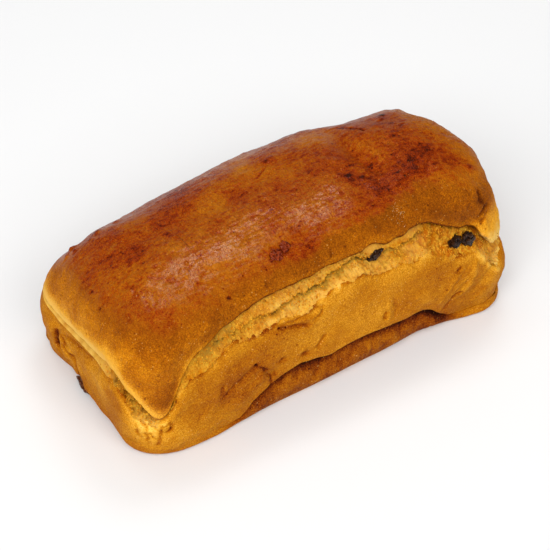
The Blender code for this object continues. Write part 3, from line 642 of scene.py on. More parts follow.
# Side crust: foot, fold and belly, with its own wrinkles
sideLook = {
    "columns": 760, "density": (1.6, 1.25, 0.7), "footRows": 10, "bellyRows": 78, "rollRows": 21,
    "underRows": 12, "crease": 0.0032, "creaseLift": 0.0004, "fullFold": 0.0045, "footRoll": 0.0031,
    "rollShape": 0.8,
    "turnedIn": ((0.0007, 0.0004), (0.0018, 0.0002), (0.0030, -0.0015), (0.0050, -0.0060)),  # (inset, rise)
    "insideHeight": 0.026, "rag": ((0.0034, 0.0008, 21), (0.0012, 0.0005, 22)),  # noise: (size, depth, seed)
    "relief": ((0.0095, 0.00055, 3), (0.0021, 0.00012, 7)), "longRelief": ((0.0048, 0.00022, 9),),
    "longStretch": (0.6, 1, 1.4), "wrinkleSize": (0.0056, 0.008), "footWrinkle": 0.0007,
    "bake": 0.49, "lowBake": 0.06, "patch": ((0.028, 0.10, 4),), "wrinkleShade": 0.02, "footWrinklePaintedShade": 0.09,
    "edgeWidth": 0.0011, "edgeShade": 0.26, "toastSize": 0.0075, "paleWidth": 0.0042, "paleEdge": 0.13,
    "creasePaintedShade": 0.50, "footPaintedShadow": 0.50, "footPaintedShadowWidth": 0.0052, "footPaintedShadowBase": 0.12,
    "creaseRows": (*(1,) * 8, 0.9, 0.8, 0.65, 0.5, 0.3, 0.15, 0.05),  # share of the crease's shade, row by row
    "round": (  # how far the foot is rounded
        (-115, 30, 3), (-115, 0, 3.4), (-112, -42, 4), (-103, -53, 4.4), (-96, -58, 4.2), (-82, 3.2), (-55, 3),
        (0, 2.4), (92, -59, 3.4), (110, -45, 3.4), (115, 0, 3), (0, 60, 3),
    ),
    "spread": (  # how far the foot reaches out past the solid
        (-115, 30, 0), (-115, 4, -1.2), (-115, -20, 0), (-108, -47, 1), (-96, -58, 1.2), (-85, 2), (-60, 1.4),
        (-30, 1.4), (20, 0.4), (45, 1.2), (70, 2), (95, -59, 2.2), (108, -47, 1.6), (115, 0, 0.4), (0, 60, 0),
    ),
    "features": (
        (((-34.4, -59.1, 59.3), (-28.8, -59.3, 57.2), (-23.1, -59.5, 55), (-18.6, -59.7, 54.1)),
         1.2, -1.3, 0.26),
        (((-28.2, -58.3, 61), (-22.6, -58.4, 61), (-18.5, -58.4, 61.5), (-14.4, -58.2, 62.4)), 1.5, 1.1, 0.1),
        (((-14.4, -58.2, 61.6), (-9.6, -58.8, 61.2), (-10.4, -59.3, 58.3), (-14, -59.5, 55.7)), 0.9, -0.9, 0.2),
        (((-21.3, -59.2, 57.6), (-16, -59.4, 57.4), (-12.5, -59.4, 59)), 1.2, 0.8, 0.06),
        (((-36, -58.6, 62.5), (-31, -58.5, 60.4), (-24, -58.6, 59.4), (-19, -58.8, 59.4)), 0.8, -1, 0.16),
        (((-32.4, -59.3, 37.4), (-33.4, -59.3, 36.4)), 1.7, -1.4, 0.24),
        (((-19.4, -59.4, 34.2),), 2, -1.6, 0.3), (((-8.7, -59.8, 41.4), (-12.6, -59.7, 35.7)), 1.4, -1, 0.16),
        (((28.1, -59.6, 37.5), (27.8, -59.6, 34.2)), 0.9, -1.5, 0.34),
        (((29.5, -59.6, 43), (31, -59.6, 37), (29.5, -59.6, 33)), 1.2, 0.8, -0.05),
        (((33, -59.6, 44), (35, -59.6, 38), (34, -59.6, 33)), 1.2, -0.6, 0.06),
        (((-39.4, -58.9, 23.5), (-39.1, -58.5, 28), (-42.3, -59, 34.5), (-47.6, -59.3, 41.1)), 0.8, -1.1, 0.3),
        (((-42.3, -59, 34.5), (-38.4, -59, 31.5), (-36.6, -59, 29)), 0.6, -0.8, 0.26),
        (((-47.6, -59.3, 41.1), (-51.5, -59.1, 38.3), (-58.9, -59, 33.9), (-66, -59, 29)), 1.5, -0.9, 0.14),
        (((-45, -59, 33), (-51, -59, 28), (-56, -58.5, 22)), 5, 1.2, 0.03),
        (((-66.3, -59.2, 36), (-67.5, -59.2, 32)), 1.2, -0.8, 0.16),
        (((-60, -59, 47), (-52, -59, 50)), 3, -0.7, 0.03),
        (((72.1, -57.7, 24.5), (73.8, -58, 26.3), (76.1, -58, 26.6)), 0.9, -1.3, 0.34),
        (((66.9, -57.5, 18.5), (70, -57.5, 21.5), (72.1, -57.7, 24.5)), 1.2, -0.9, 0.14),
        (((76.5, -58, 26), (81.3, -58.7, 31.3), (82.6, -59.3, 37.4), (83, -59, 44.7)), 2, 1.1, -0.1),
        (((71.5, -58.9, 31), (78.6, -59.4, 36.7), (81.5, -59.4, 40.5)), 0.9, 0.5, -0.08),
        (((67, -59, 30.5), (73, -59.4, 37), (78, -59.4, 43.5)), 0.9, -0.5, 0.06),
        (((62, -59, 27), (68, -59.4, 35), (72, -59.4, 42)), 1.6, 0.6, -0.03),
        (((73.9, -59.3, 45.1), (72.4, -59.4, 44.2)), 1.1, -1.2, 0.3),
        (((88, -58, 24), (92, -58, 31), (90, -59, 39)), 3.4, -0.8, 0.04),
        (((84, -57.5, 15), (92, -57, 22)), 2.4, -0.7, 0.05), (((48, -59, 40), (56, -59, 34)), 4, 0.8, -0.03),
        (((84.3, -57, 50), (87.1, -58.3, 46), (91.1, -59, 40.3), (95.5, -58.1, 34.5), (100.5, -56, 29)),
         1.6, 1.3, -0.26),
        (((-3.7, -54.5, 14), (-3.6, -53.5, 9), (-2.5, -52.3, 4)), 0.7, -1, 0.26),
        (((4.3, -54, 12), (5.2, -52.3, 5)), 0.6, -0.6, 0.18),
        (((30, -54, 17), (36, -54, 15.4), (41, -53, 14)), 0.8, -0.8, 0.3),
        (((-22, -54, 13), (-14, -54, 15), (-8, -54, 13)), 1.6, -0.5, 0.04),
        (((15, -54, 12), (22, -54, 14)), 1.8, 0.5, 0),
        (((-113.2, 27, 26.8), (-112.8, 28.5, 20), (-111.9, 30.2, 13.3)), 1.1, -1.8, 0.46),
        (((-112.5, 20.6, 21.9), (-112, 17, 17.5), (-111.4, 12.9, 18.6), (-110.5, 9.7, 11.5), (-109.6, 8, 6)),
         1.3, -1.4, 0.3),
        (((-112.9, 23.5, 27), (-112.5, 22.4, 21), (-111.8, 21, 14)), 1.6, 0.9, -0.04),
        (((-112.7, 18.9, 30.6), (-112.3, 9.5, 33.5), (-112.6, -3.2, 37.5), (-112.6, -16.1, 41.8)),
         1.3, -0.9, 0.18),
        (((-113, 23, 29), (-113, 19, 24)), 1.2, -1.2, 0.3), (((-112, 5, 25), (-111, 2, 14)), 4, -0.7, 0.04),
        (((-112, -14, 33), (-110, -17, 18), (-109, -18, 8)), 3.5, -0.6, 0.02),
        (((-104.7, -53.4, 21), (-103, -54.6, 17), (-100.5, -55.6, 12), (-99.5, -55.8, 7)), 0.7, -0.8, 0.2),
        (((-108.6, -49, 22), (-107.2, -50.6, 15), (-106.5, -51.2, 8)), 0.6, -0.6, 0.16),
        (((-97.5, -57.2, 24), (-96.8, -57.6, 17), (-97.6, -57, 10)), 0.6, -0.6, 0.14),
        (((108, -46, 38), (105, -50, 26)), 9, 1.6, 0), (((112, -30, 34), (112, -14, 34)), 9, 0.8, 0),
        (((-111, 0, 9), (-111, 16, 9)), 3.5, 1.2, 0.05), (((-110, 0, 7), (-110, -18, 7)), 5, 2, 0),
        (((-96, -57, 13), (-86, -57.5, 13), (-78, -58, 12)), 9, 1.9, 0),
        (((60, -56, 7), (70, -56, 7)), 5, 1.5, 0),
        (((-113, -34, 40.5), (-110.5, -43.6, 35.5), (-107.4, -47.8, 30.6), (-103, -52.5, 26.8), (-98, -57, 27)),
         1.8, 0.9, -0.16),
        (((-99.3, -56.3, 25.4), (-100.7, -56, 19), (-101.3, -55, 12)), 1, -1, 0.38),
        (((-108, -48, 31), (-105.9, -51.4, 25.4), (-105.8, -52.7, 17), (-105.5, -52.4, 11)), 0.9, -1, 0.36),
        (((-104.5, -51.5, 26), (-101.5, -54.5, 24.5)), 0.6, -1.3, 0.36),
        (((-101, -54.5, 23), (-97.5, -56.8, 21), (-95, -57.6, 22.5)), 0.6, -1.3, 0.36),
        (((-108.8, -48.7, 26), (-109.4, -49, 18)), 0.9, -0.9, 0.34),
        (((-98, -56.8, 25.5), (-95.3, -57.5, 27), (-94.9, -58.2, 21.5)), 0.8, -0.9, 0.3),
        (((-106.5, -49.6, 24),), 1.8, 0.9, -0.1), (((-100, -55.4, 24.6),), 1.8, 0.8, -0.1),
        (((-106, -50.5, 27), (-104.6, -52, 22)), 0.6, -0.8, 0.2),
        (((-109.5, -45.8, 31), (-109, -46.5, 24)), 0.6, -0.7, 0.16),
        (((-112.6, -3, 45), (-112.6, -22, 47), (-112, -33, 46.5)), 0.7, -0.5, 0.14),
        (((-70, 58, 20), (-62, 59, 30)), 2, -0.8, 0.08), (((-20, 58, 34), (-12, 58, 28)), 1.4, -1, 0.16),
        (((25, 58, 24), (34, 59, 33), (40, 59, 40)), 1, -0.9, 0.18), (((60, 59, 30),), 2.2, -1.2, 0.2),
        (((-45, 57, 14), (-30, 57, 17)), 2.4, 0.8, 0.02), (((80, 58, 18), (88, 58, 28)), 2, -0.7, 0.08),
        (((113, -15, 20), (114, -5, 32)), 1.6, -0.9, 0.12), (((113, 15, 25), (114, 24, 34)), 1.2, -0.9, 0.16),
        (((114, 8, 14),), 2, -1, 0.16), (((-95, 57, 24), (-88, 58, 32)), 1.2, -0.8, 0.14),
    ),
    "crumbly": (
        (-110.5, -43, 34, 4, 0.7), (-106, -49, 28, 5, 0.8), (-101, -54, 25, 5, 0.7), (-96, -57, 26, 4, 0.5),
    ),
    "warm": (
        (-18, -59, 45, 26, -0.03), (8, -59, 46, 18, -0.06), (60, -58, 24, 14, 0.06), (85, -58, 40, 12, 0.03),
        (-66, -59, 36, 20, 0.09), (-104, -50, 18, 14, -0.17), (-104, -51, 27, 7, -0.3),
        (-108, -47, 30, 5, -0.1), (-95, -56, 24, 8, -0.05), (-112, 10, 25, 16, -0.06),
        (20, -59, 58, 20, -0.04), (-60, -59, 44, 9, 0.08), (-24, -59, 57.5, 6, 0.06),
        (-112, -20, 30, 16, -0.1), (44, -59, 36, 12, 0.05), (98, -55, 26, 9, -0.06), (-34, -59, 30, 8, 0.05),
        (-50, 58, 30, 20, 0.06), (40, 58, 25, 18, -0.06), (113, 10, 30, 14, 0.05),
    ),
}


noiseHeight = 0.05  # where noise along the rim is read


def crustEdge(rim):  # the torn upper edge of the side crust, ragged in the fine
    ragged = layered(ringAt(rim, 0, noiseHeight), sideLook["rag"])
    return around(rim, edgeTables["crust"]) + ragged * around(rim, crumbTables["torn"], 1)


def foldRows(foot, fold, belly, inward, cut):  # from the foot into the crease and out again under the belly
    look = sideLook
    deep = fold + inward * cut * look["crease"] + [0, 0, look["creaseLift"]]
    rows = []
    for part in np.linspace(0, 1, look["rollRows"] + 1)[1:]:
        roll = inward * cut * look["footRoll"] * math.sin(math.pi * part ** look["rollShape"])
        rows.append(foot + (fold - foot) * part - roll)
    rows += [fold + (deep - fold) * part for part in (0.35, 0.7, 1.0)]
    for turn in np.linspace(0, math.pi / 2, look["underRows"] + 2)[1:-1]:
        under = deep + (belly - deep) * math.sin(turn)
        under[:, 2] = deep[:, 2] + (belly[:, 2] - deep[:, 2]) * (1 - math.cos(turn))
        rows.append(under)
    return rows


def sideRings(rim, top, cut):
    look = sideLook
    lift = around(rim, edgeTables["foldLift"])
    foot = footRings(rim, look["footRows"], around(rim, look["round"]))
    spread = rim["normals"] * around(rim, look["spread"])[:, None]
    for ring in foot:
        ring[:, :2] += spread
    fold, belly = foldRing(rim, lift), bellyRings(rim, look["bellyRows"], lift, top)
    inward = -np.column_stack([rim["normals"], np.zeros(rim["columns"])])
    closing = [ringAt(rim, -loafForm["shoulder"] - inset, top + rise) for inset, rise in look["turnedIn"]]
    closing += [insideRing(rim, share, look["insideHeight"]) for share in (0.4, 0.9)]
    return fold[:, 2], [*foot, *foldRows(foot[-1], fold, belly[0], inward, cut[:, None]), *belly, *closing]


def uprightWrinkles(rim, height):
    along, up = sideLook["wrinkleSize"]
    place = np.stack(np.broadcast_arrays(rim["along"] / along, height / up, 0.0), axis=-1)
    return noiseOf(place, 1.0, 12) + 0.6 * noiseOf(place * [3.1, 1.6, 1], 1.0, 14)


def makeSideCrust():
    look = sideLook
    rim = makeRim(look["columns"], look["density"])
    top, torn = crustEdge(rim), around(rim, crumbTables["torn"], 1)
    cut = around(rim, loafForm["foldDepth"]) / look["fullFold"]  # 1 where the fold is deepest
    foldHeight, rings = sideRings(rim, top, cut)
    grid = toSize(plainGrid(rings))
    height = grid[..., 2]
    depth, shade = addFeatures(grid, look["features"])
    calm = np.clip((height - 0.002) / 0.006, 0, 1)
    depth += layered(grid, look["relief"])
    depth += layered(grid * look["longStretch"], look["longRelief"])
    wrinkles = uprightWrinkles(rim, height)
    onFoot = soften(foldHeight - height, -0.002, 0.002) * cut
    depth += wrinkles * look["footWrinkle"] * onFoot
    outside = len(rings) - len(look["turnedIn"])
    moved = gridNormals(grid) * (depth * calm)[..., None]
    grid[1:outside] += moved[1:outside]
    below = np.clip(top - height, 0, 1)
    edge = np.exp(-((below / look["edgeWidth"]) ** 2)) * (0.25 + 0.75 * torn)
    edge *= 1 - 0.8 * soften(rim["points"][:, 0], 0.078, 0.090)
    toasted = soften(noiseOf(grid, look["toastSize"], 13), -0.25, 0.18)
    bake = look["bake"] + look["lowBake"] * soften(0.022 - height, 0, 0.02) + layered(grid, look["patch"])
    # colour follows the upright wrinkles; on the foot, where they are relief, the lighter ridges and darker
    # hollows are painted shade
    bake = bake - wrinkles * (look["wrinkleShade"] + look["footWrinklePaintedShade"] * onFoot)
    bake += shade + edge * (look["edgeShade"] * toasted - 0.05) + spots(grid, look["warm"])
    bake -= look["paleEdge"] * torn * np.exp(-((below / look["paleWidth"]) ** 2)) * (1 - 0.7 * toasted)
    first = look["footRows"] - 1
    crease = first + look["rollRows"]
    # painted shade in the crease under the belly's overhang, and painted shadow on the top of the foot, fading
    # downwards
    bake[crease:crease + len(look["creaseRows"])] += np.outer(look["creaseRows"], cut) * look["creasePaintedShade"]
    drop = np.clip(foldHeight - height[first:crease], 0, 1)
    bake[first:crease] += cut * (look["footPaintedShadow"] * np.exp(-((drop / look["footPaintedShadowWidth"]) ** 2))
                                 + look["footPaintedShadowBase"])
    crumbly = np.clip(spots(grid, look["crumbly"]), 0, 1) * soften(noiseOf(grid, 0.0022, 25), -0.1, 0.25)
    values = {"bake": bake, "loose": edge * 0.6 + crumbly}
    values.update({key: np.zeros(bake.shape) for key in ("glaze", "gloss", "pale")})
    return makePiece("side_crust", rim, grid, values, sideMaterial, flatBase=True)


# Torn crumb between side crust and lid: rim tables of shares, and of the fissure's height in mm
crumbTables = {
    "torn": (  # 1 is torn open, 0 is a smooth rolled fold
        (-115, 34, 0.1), (-115, 0, 0), (-115, -22, 0.05), (-114, -34, 0.8), (-108, -47, 1), (-96, -58, 1),
        (90, -59, 1), (104, -53, 0.7), (114, -34, 0.5), (115, 0, 0.4), (60, 60, 0.4), (-60, 60, 0.4),
        (-100, 55, 0.2),
    ),
    "fissure": (  # its height
        (-85, 56), (-70, 60.5), (-61, 63.8), (-51, 65), (-39, 66.4), (-28, 67.4), (-21, 68.3), (-14, 69),
        (-9, 69.2), (-3, 71.4), (4, 72.8), (14, 73.7), (21, 72.8), (30, 71.3), (36, 71.3), (42, 71.1),
        (47, 72.4), (53, 74), (70, 66), (100, -57, 52), (115, 0, 56), (60, 60, 49), (-60, 60, 46.5),
        (-115, 10, 41), (-108, -47, 37),
    ),
    "open": (  # how deep the fissure is
        (-115, 0, 0), (-100, -56, 0), (-72, 0.05), (-62, 0.25), (-45, 0.35), (-36, 0.9), (0, 1), (18, 1),
        (26, 0.8), (52, 0.55), (57, 0), (100, -57, 0), (115, 0, 0.3), (60, 60, 0.4), (-60, 60, 0.4),
        (-105, 50, 0),
    ),
    "gap": (  # how deep it sinks under the lip
        (-115, 30, 0.15), (-115, 0, 0.3), (-110, -42, 0.5), (-99, -56, 0.4), (-85, 0.5), (-70, 0.9),
        (-50, 0.7), (-30, 0.9), (-10, 0.6), (0, 0.2), (40, 0.2), (55, 1), (80, 1.2), (90, -59, 0.8),
        (110, -45, 0.3), (115, 0, 0.3), (0, 60, 0.5), (-100, 55, 0.2),
    ),
    "strip": (  # smooth crusted strip above the fissure
        (-115, 0, 0), (18, 0), (26, 1), (52, 1), (58, 0), (100, -57, 0), (0, 60, 0),
    ),
}
crumbForm = {
    "columns": 1180, "density": (1.8, 1.0, 0.5), "faceRows": 70, "tuck": 0.0028, "overhang": 0.0009,
    "undercut": 0.0026, "hollow": 0.0009, "ridge": 0.0010, "roll": 0.0018, "slit": 0.0012, "underLip": 0.0040,
    "behind": ((1.0, 0.006), (0.7, 0.009), (0.3, 0.009), (0.0, 0.005)),  # (share of the height, inset)
    "fissureRag": ((0.006, 0.0012, 4), (0.0018, 0.0005, 6)),  # noise: (size, depth, seed)
    "lumps": ((0.0065, 0.0013, 0), (0.0028, 0.00080, 3)), "shredSize": (0.0017, 0.003, 0.0026), "shred": 0.0011,
    "fibreSize": (0.0010, 0.004, 0.0045), "fibreDepth": 0.00026, "rightFibre": 0.0006, "poreSize": 0.0026,
    "poreDepth": 0.0012, "pitSize": 0.0030, "pitDepth": 0.0016,
    # how dark the painted shade is in pores, pits, the slit and under the lip
    "dark": {"pores": 0.22, "pits": 0.42, "slit": 0.90, "lip": 0.95},
    # toast weights; the lip weight is painted shade under the lid's lip
    "toast": {"all": 0.06, "right": 0.10, "fibres": 0.60, "strip": 0.16, "patches": 0.30, "lip": 0.4},
    "pockets": (
        (73.6, -52, 58.2, 4.6, 2), (81.7, -52.5, 56.4, 5, 2.2), (25.8, -49.7, 71.4, 4.5, 1.6),
        (72.5, -54, 54.6, 1.8, -1.7), (77.4, -54, 54, 1.8, -2.2), (83.5, -55, 51.4, 2.2, -1.9),
        (53.5, -50, 72.4, 1.6, 1.6), (-56, -52, 72.6, 2.2, 2), (-52, -52, 74.4, 1.6, 1.4),
        (60, -52, 68.5, 1.5, 1.2), (66.5, -53, 63, 1.4, 1), (-2, -52, 75.6, 1.6, 1.8),
    ),
    # spots of painted shade in hollows under the lip and in the fissure
    "hollows": (
        (-20.8, -55, 67, 2.4, 0.3), (-56, -51, 72.8, 2, 0.8), (-51.5, -51, 74.6, 1.5, 0.6),
        (53.5, -50, 72.4, 1.3, 0.5), (-2, -52, 75.4, 1.8, 0.5), (88, -53.5, 54, 2.6, 0.6),
        (92.5, -54, 50, 2.6, 0.6), (91.5, -57, 47, 2.2, 0.35), (84.5, -53, 61, 2.2, 0.4),
        (78, -52, 61.5, 2.5, 0.25), (70, -52, 56.5, 2.2, 0.3), (-112.4, -33, 49, 2.6, 0.4),
        (-111.5, -38, 46.5, 2.8, 0.5), (-109.8, -43, 41.5, 2.8, 0.32), (-107, -47, 36.5, 2.6, 0.35),
        (-103.5, -51.5, 32.5, 2.2, 0.45), (-95, -57.5, 36, 2, 0.3),
    ),
    "porous": (
        (-112, -36, 46, 6, 0.5), (-109, -44, 38, 7, 1), (-104, -51, 31, 6, 0.9), (-96, -57, 34, 5, 0.5),
        (-68, -55, 61, 6, 0.3), (74, -54, 58, 8, 0.2),
    ),
    "cream": (
        (88, -57, 46, 3.5, 0.7), (93, -57, 38, 4, 0.7), (99, -55, 31, 4, 0.7), (106, -50, 31, 5, 0.6),
        (-107, -49, 28, 4, 0.35), (-101, -54, 26, 4, 0.4), (-97, -57, 29, 3, 0.5), (-30, -55, 74, 5, 0.25),
        (38, -53.5, 69.7, 5, -0.5), (-20.8, -55, 67, 2.4, -0.5),
    ),
    # spots of painted shadow in the crumb's pockets, in an olive tone
    "pocketOliveShade": (
        (-112, -36, 44, 4, 0.7), (-110.5, -41, 40, 4, 0.8), (-107, -46, 33, 4, 0.7), (-103, -51, 29, 3, 0.5),
        (-20.8, -54.5, 67.2, 3.2, 0.9), (-70, -53, 58.5, 4, 0.7), (-76, -53, 57, 4, 0.5),
        (-60, -53, 66.5, 5, 0.8), (-66, -53, 62, 3, 0.8),
    ),
}


def tearLines(rim):  # heights and shares along the rim
    lines = {key: around(rim, crumbTables[key], 1) for key in ("torn", "open", "gap", "strip")}
    lines["inset"], lines["low"] = around(rim, loafForm["lipInset"]), crustEdge(rim)
    lines["high"] = around(rim, edgeTables["lip"]) - loafForm["lipThickness"]
    fissure = np.clip(around(rim, crumbTables["fissure"]), lines["low"] + 0.001, lines["high"] - 0.001)
    lines["fissure"] = layered(ringAt(rim, 0, noiseHeight), crumbForm["fissureRag"], fissure)
    return lines


def crumbRings(rim, lines):
    form, rings = crumbForm, []
    torn, opening, gap = lines["torn"], lines["open"], lines["gap"]
    inset, low, high = lines["inset"], lines["low"], lines["high"]
    wide = np.clip((high - low) / 0.010, 0, 1)
    tall = high - low + 2 * form["tuck"]
    for part in np.linspace(0, 1, form["faceRows"]):
        height = low - form["tuck"] + tall * part
        share = np.clip((height - low) / (high - low), 0, 1)
        inward = loafForm["shoulder"] + 0.0003 + inset * share**0.8
        inward += torn * wide * form["hollow"] * np.sin(math.pi * share)
        inward -= (1 - torn) * form["roll"] * np.sin(math.pi * np.clip(share * 1.1, 0, 1)) ** 0.7
        over = height - lines["fissure"]
        step = soften(over, -0.00025, 0.00025)
        inward += opening * (1 - step) * form["undercut"] * np.exp(np.minimum(over, 0) / 0.0020)
        inward -= opening * step * form["overhang"] * np.exp(-np.maximum(over, 0) / 0.0026)
        inward += opening * form["slit"] * np.exp(-((over + 0.0001) / 0.0004) ** 2)
        inward += gap * form["underLip"] * np.exp(-np.maximum(high - height, 0) / 0.0015)
        inward -= torn * form["ridge"] * np.exp(-(((height - low - 0.0016) / 0.0014) ** 2))
        inward += np.clip((low - height) / 0.001, 0, 3) * 0.0009
        rings.append(ringAt(rim, -inward, height))
    for part, extra in form["behind"]:
        height = low - form["tuck"] + tall * part
        rings.append(ringAt(rim, -loafForm["shoulder"] - inset * part - extra, height))
    return rings


def crumbPlaces(rim, front, size):  # places along the rim, inward and up, each over its own size
    along, inward, up = size
    return np.stack([np.broadcast_to(rim["along"], front.shape[:2]) / along, front[..., 2] / up,
                     front[..., 1] / inward], axis=-1)


def makeTornCrumb():
    form, dark, toastLook = crumbForm, crumbForm["dark"], crumbForm["toast"]
    rim = makeRim(form["columns"], form["density"])
    x, y = rim["points"].T
    lines = tearLines(rim)
    torn, opening, high = lines["torn"], lines["open"], lines["high"]
    rings = crumbRings(rim, lines)
    grid = toSize(plainGrid(rings))
    face = form["faceRows"]
    front = grid[:face]
    rough = torn * (1 - lines["strip"] * (front[..., 2] > lines["fissure"]) * 0.9)
    right = soften(x, 0.020, 0.060) * (y < 0)
    fibrePlaces = crumbPlaces(rim, front, form["fibreSize"])
    fibres = noiseOf(fibrePlaces * [0.8, 1, 1], 1.0, 11)
    corner = np.clip(spots(front, form["porous"][:3]), 0, 1)
    cells = np.array([noise.voronoi(Vector(point) / form["poreSize"])[0][0] for point in front.reshape(-1, 3)])
    porous = soften(noiseOf(front, 0.008, 12) + spots(front, form["porous"]), 0.0, 0.30)
    pores = soften(0.42 - cells.reshape(front.shape[:2]), 0, 0.22) * porous
    pits = soften(noiseOf(front, form["pitSize"], 31), 0.08, 0.34) * corner
    depth = layered(front, form["lumps"])
    depth += np.abs(noiseOf(crumbPlaces(rim, front, form["shredSize"]), 1.0, 5)) * form["shred"]
    depth += noiseOf(fibrePlaces, 1.0, 8) * form["fibreDepth"]
    depth = depth * (1 + 0.6 * right + 0.9 * corner) + fibres * form["rightFibre"] * right
    depth = depth - spots(front, form["pockets"]) / 1000 - pores * form["poreDepth"] - pits * form["pitDepth"]
    normals = gridNormals(grid)
    grid[:face] += normals[:face] * (depth * np.clip(rough, 0.08, 1))[..., None]

    height = front[..., 2]
    over = height - lines["fissure"]
    under = opening * soften(over, 0.0004, -0.0002) * soften(over, -0.0030, -0.0014)
    lipShade = lines["gap"] * np.exp(-np.clip(high - height, 0, 1) / (0.0013 + 0.0008 * right))
    # painted shadow in the fissure's slit
    slitShadow = opening * np.exp(-((over + 0.0003) / 0.0006) ** 2)
    # painted shade in pores, pits, the slit, the listed hollows and under the lip
    cavityShade = pores * dark["pores"] * rough + pits * dark["pits"]
    cavityShade = cavityShade + slitShadow * dark["slit"] + lipShade * dark["lip"]
    hollows = spots(front, form["hollows"]) * (0.75 + noiseOf(front, 0.0022, 18))
    cavityShade = np.clip(np.clip(cavityShade, 0, 0.9) + hollows, 0, 0.85)
    toast = right * rough * (toastLook["right"] + toastLook["fibres"] * soften(-fibres, -0.05, 0.35))
    toast = toastLook["all"] + toast + lines["strip"] * toastLook["strip"]
    # toast patches, and painted shade under the lip as darker toast colour
    toast += toastLook["patches"] * soften(noiseOf(front, 0.011, 5), 0.05, 0.5) + lipShade * toastLook["lip"]
    toast *= 1 - 0.7 * right * soften(fibres, 0.0, 0.3)
    # painted shadow in an olive tone under the fissure's overhang and in the listed pockets
    oliveShade = under * (0.76 + noiseOf(front, 0.006, 15) * 0.9)
    oliveShade += spots(front, form["pocketOliveShade"]) * (0.7 + noiseOf(front, 0.004, 33))
    oliveShade = np.clip(oliveShade, 0, 1) * torn
    cream = (1 - torn) * 0.60 + spots(front, form["cream"])
    cream += opening * (soften(over, -0.0016, -0.0030) * 0.35 + 0.25 * soften(over, 0.0002, 0.0012))
    cream = np.clip(cream * (1 + noiseOf(front, 0.005, 16)), 0, 0.9)
    share = np.clip((height - lines["low"]) / (high - lines["low"]), 0, 1)
    rough = np.clip(rough * soften(share, 0.01, 0.06) * soften(share, 1.0, 0.93), 0, 1)
    rough = rough * (1 - right * soften(high - height, 0.0034, 0.0012))  # nothing loose close under the lip
    clumps = 0.35 + 0.65 * soften(noiseOf(front, 0.006, 23), -0.2, 0.3)
    loose = rough * (1 - 0.45 * right) * clumps * (y < -0.02)
    strings = soften(over, 0.0006, 0.0016) * (0.3 + opening) + 0.30 * soften(x, 0.052, 0.060)
    strings = np.clip(rough * strings * (y < -0.04), 0, 1)
    values = {"cavityShade": cavityShade, "toast": np.clip(toast, 0, 1), "oliveShade": oliveShade, "cream": cream, "loose": loose,
              "strings": strings}
    behind = np.zeros((len(form["behind"]), rim["columns"]))
    values = {key: np.concatenate([value, behind]) for key, value in values.items()}
    return makePiece("torn_crumb", rim, grid, values, tornMaterial, wrap=True)


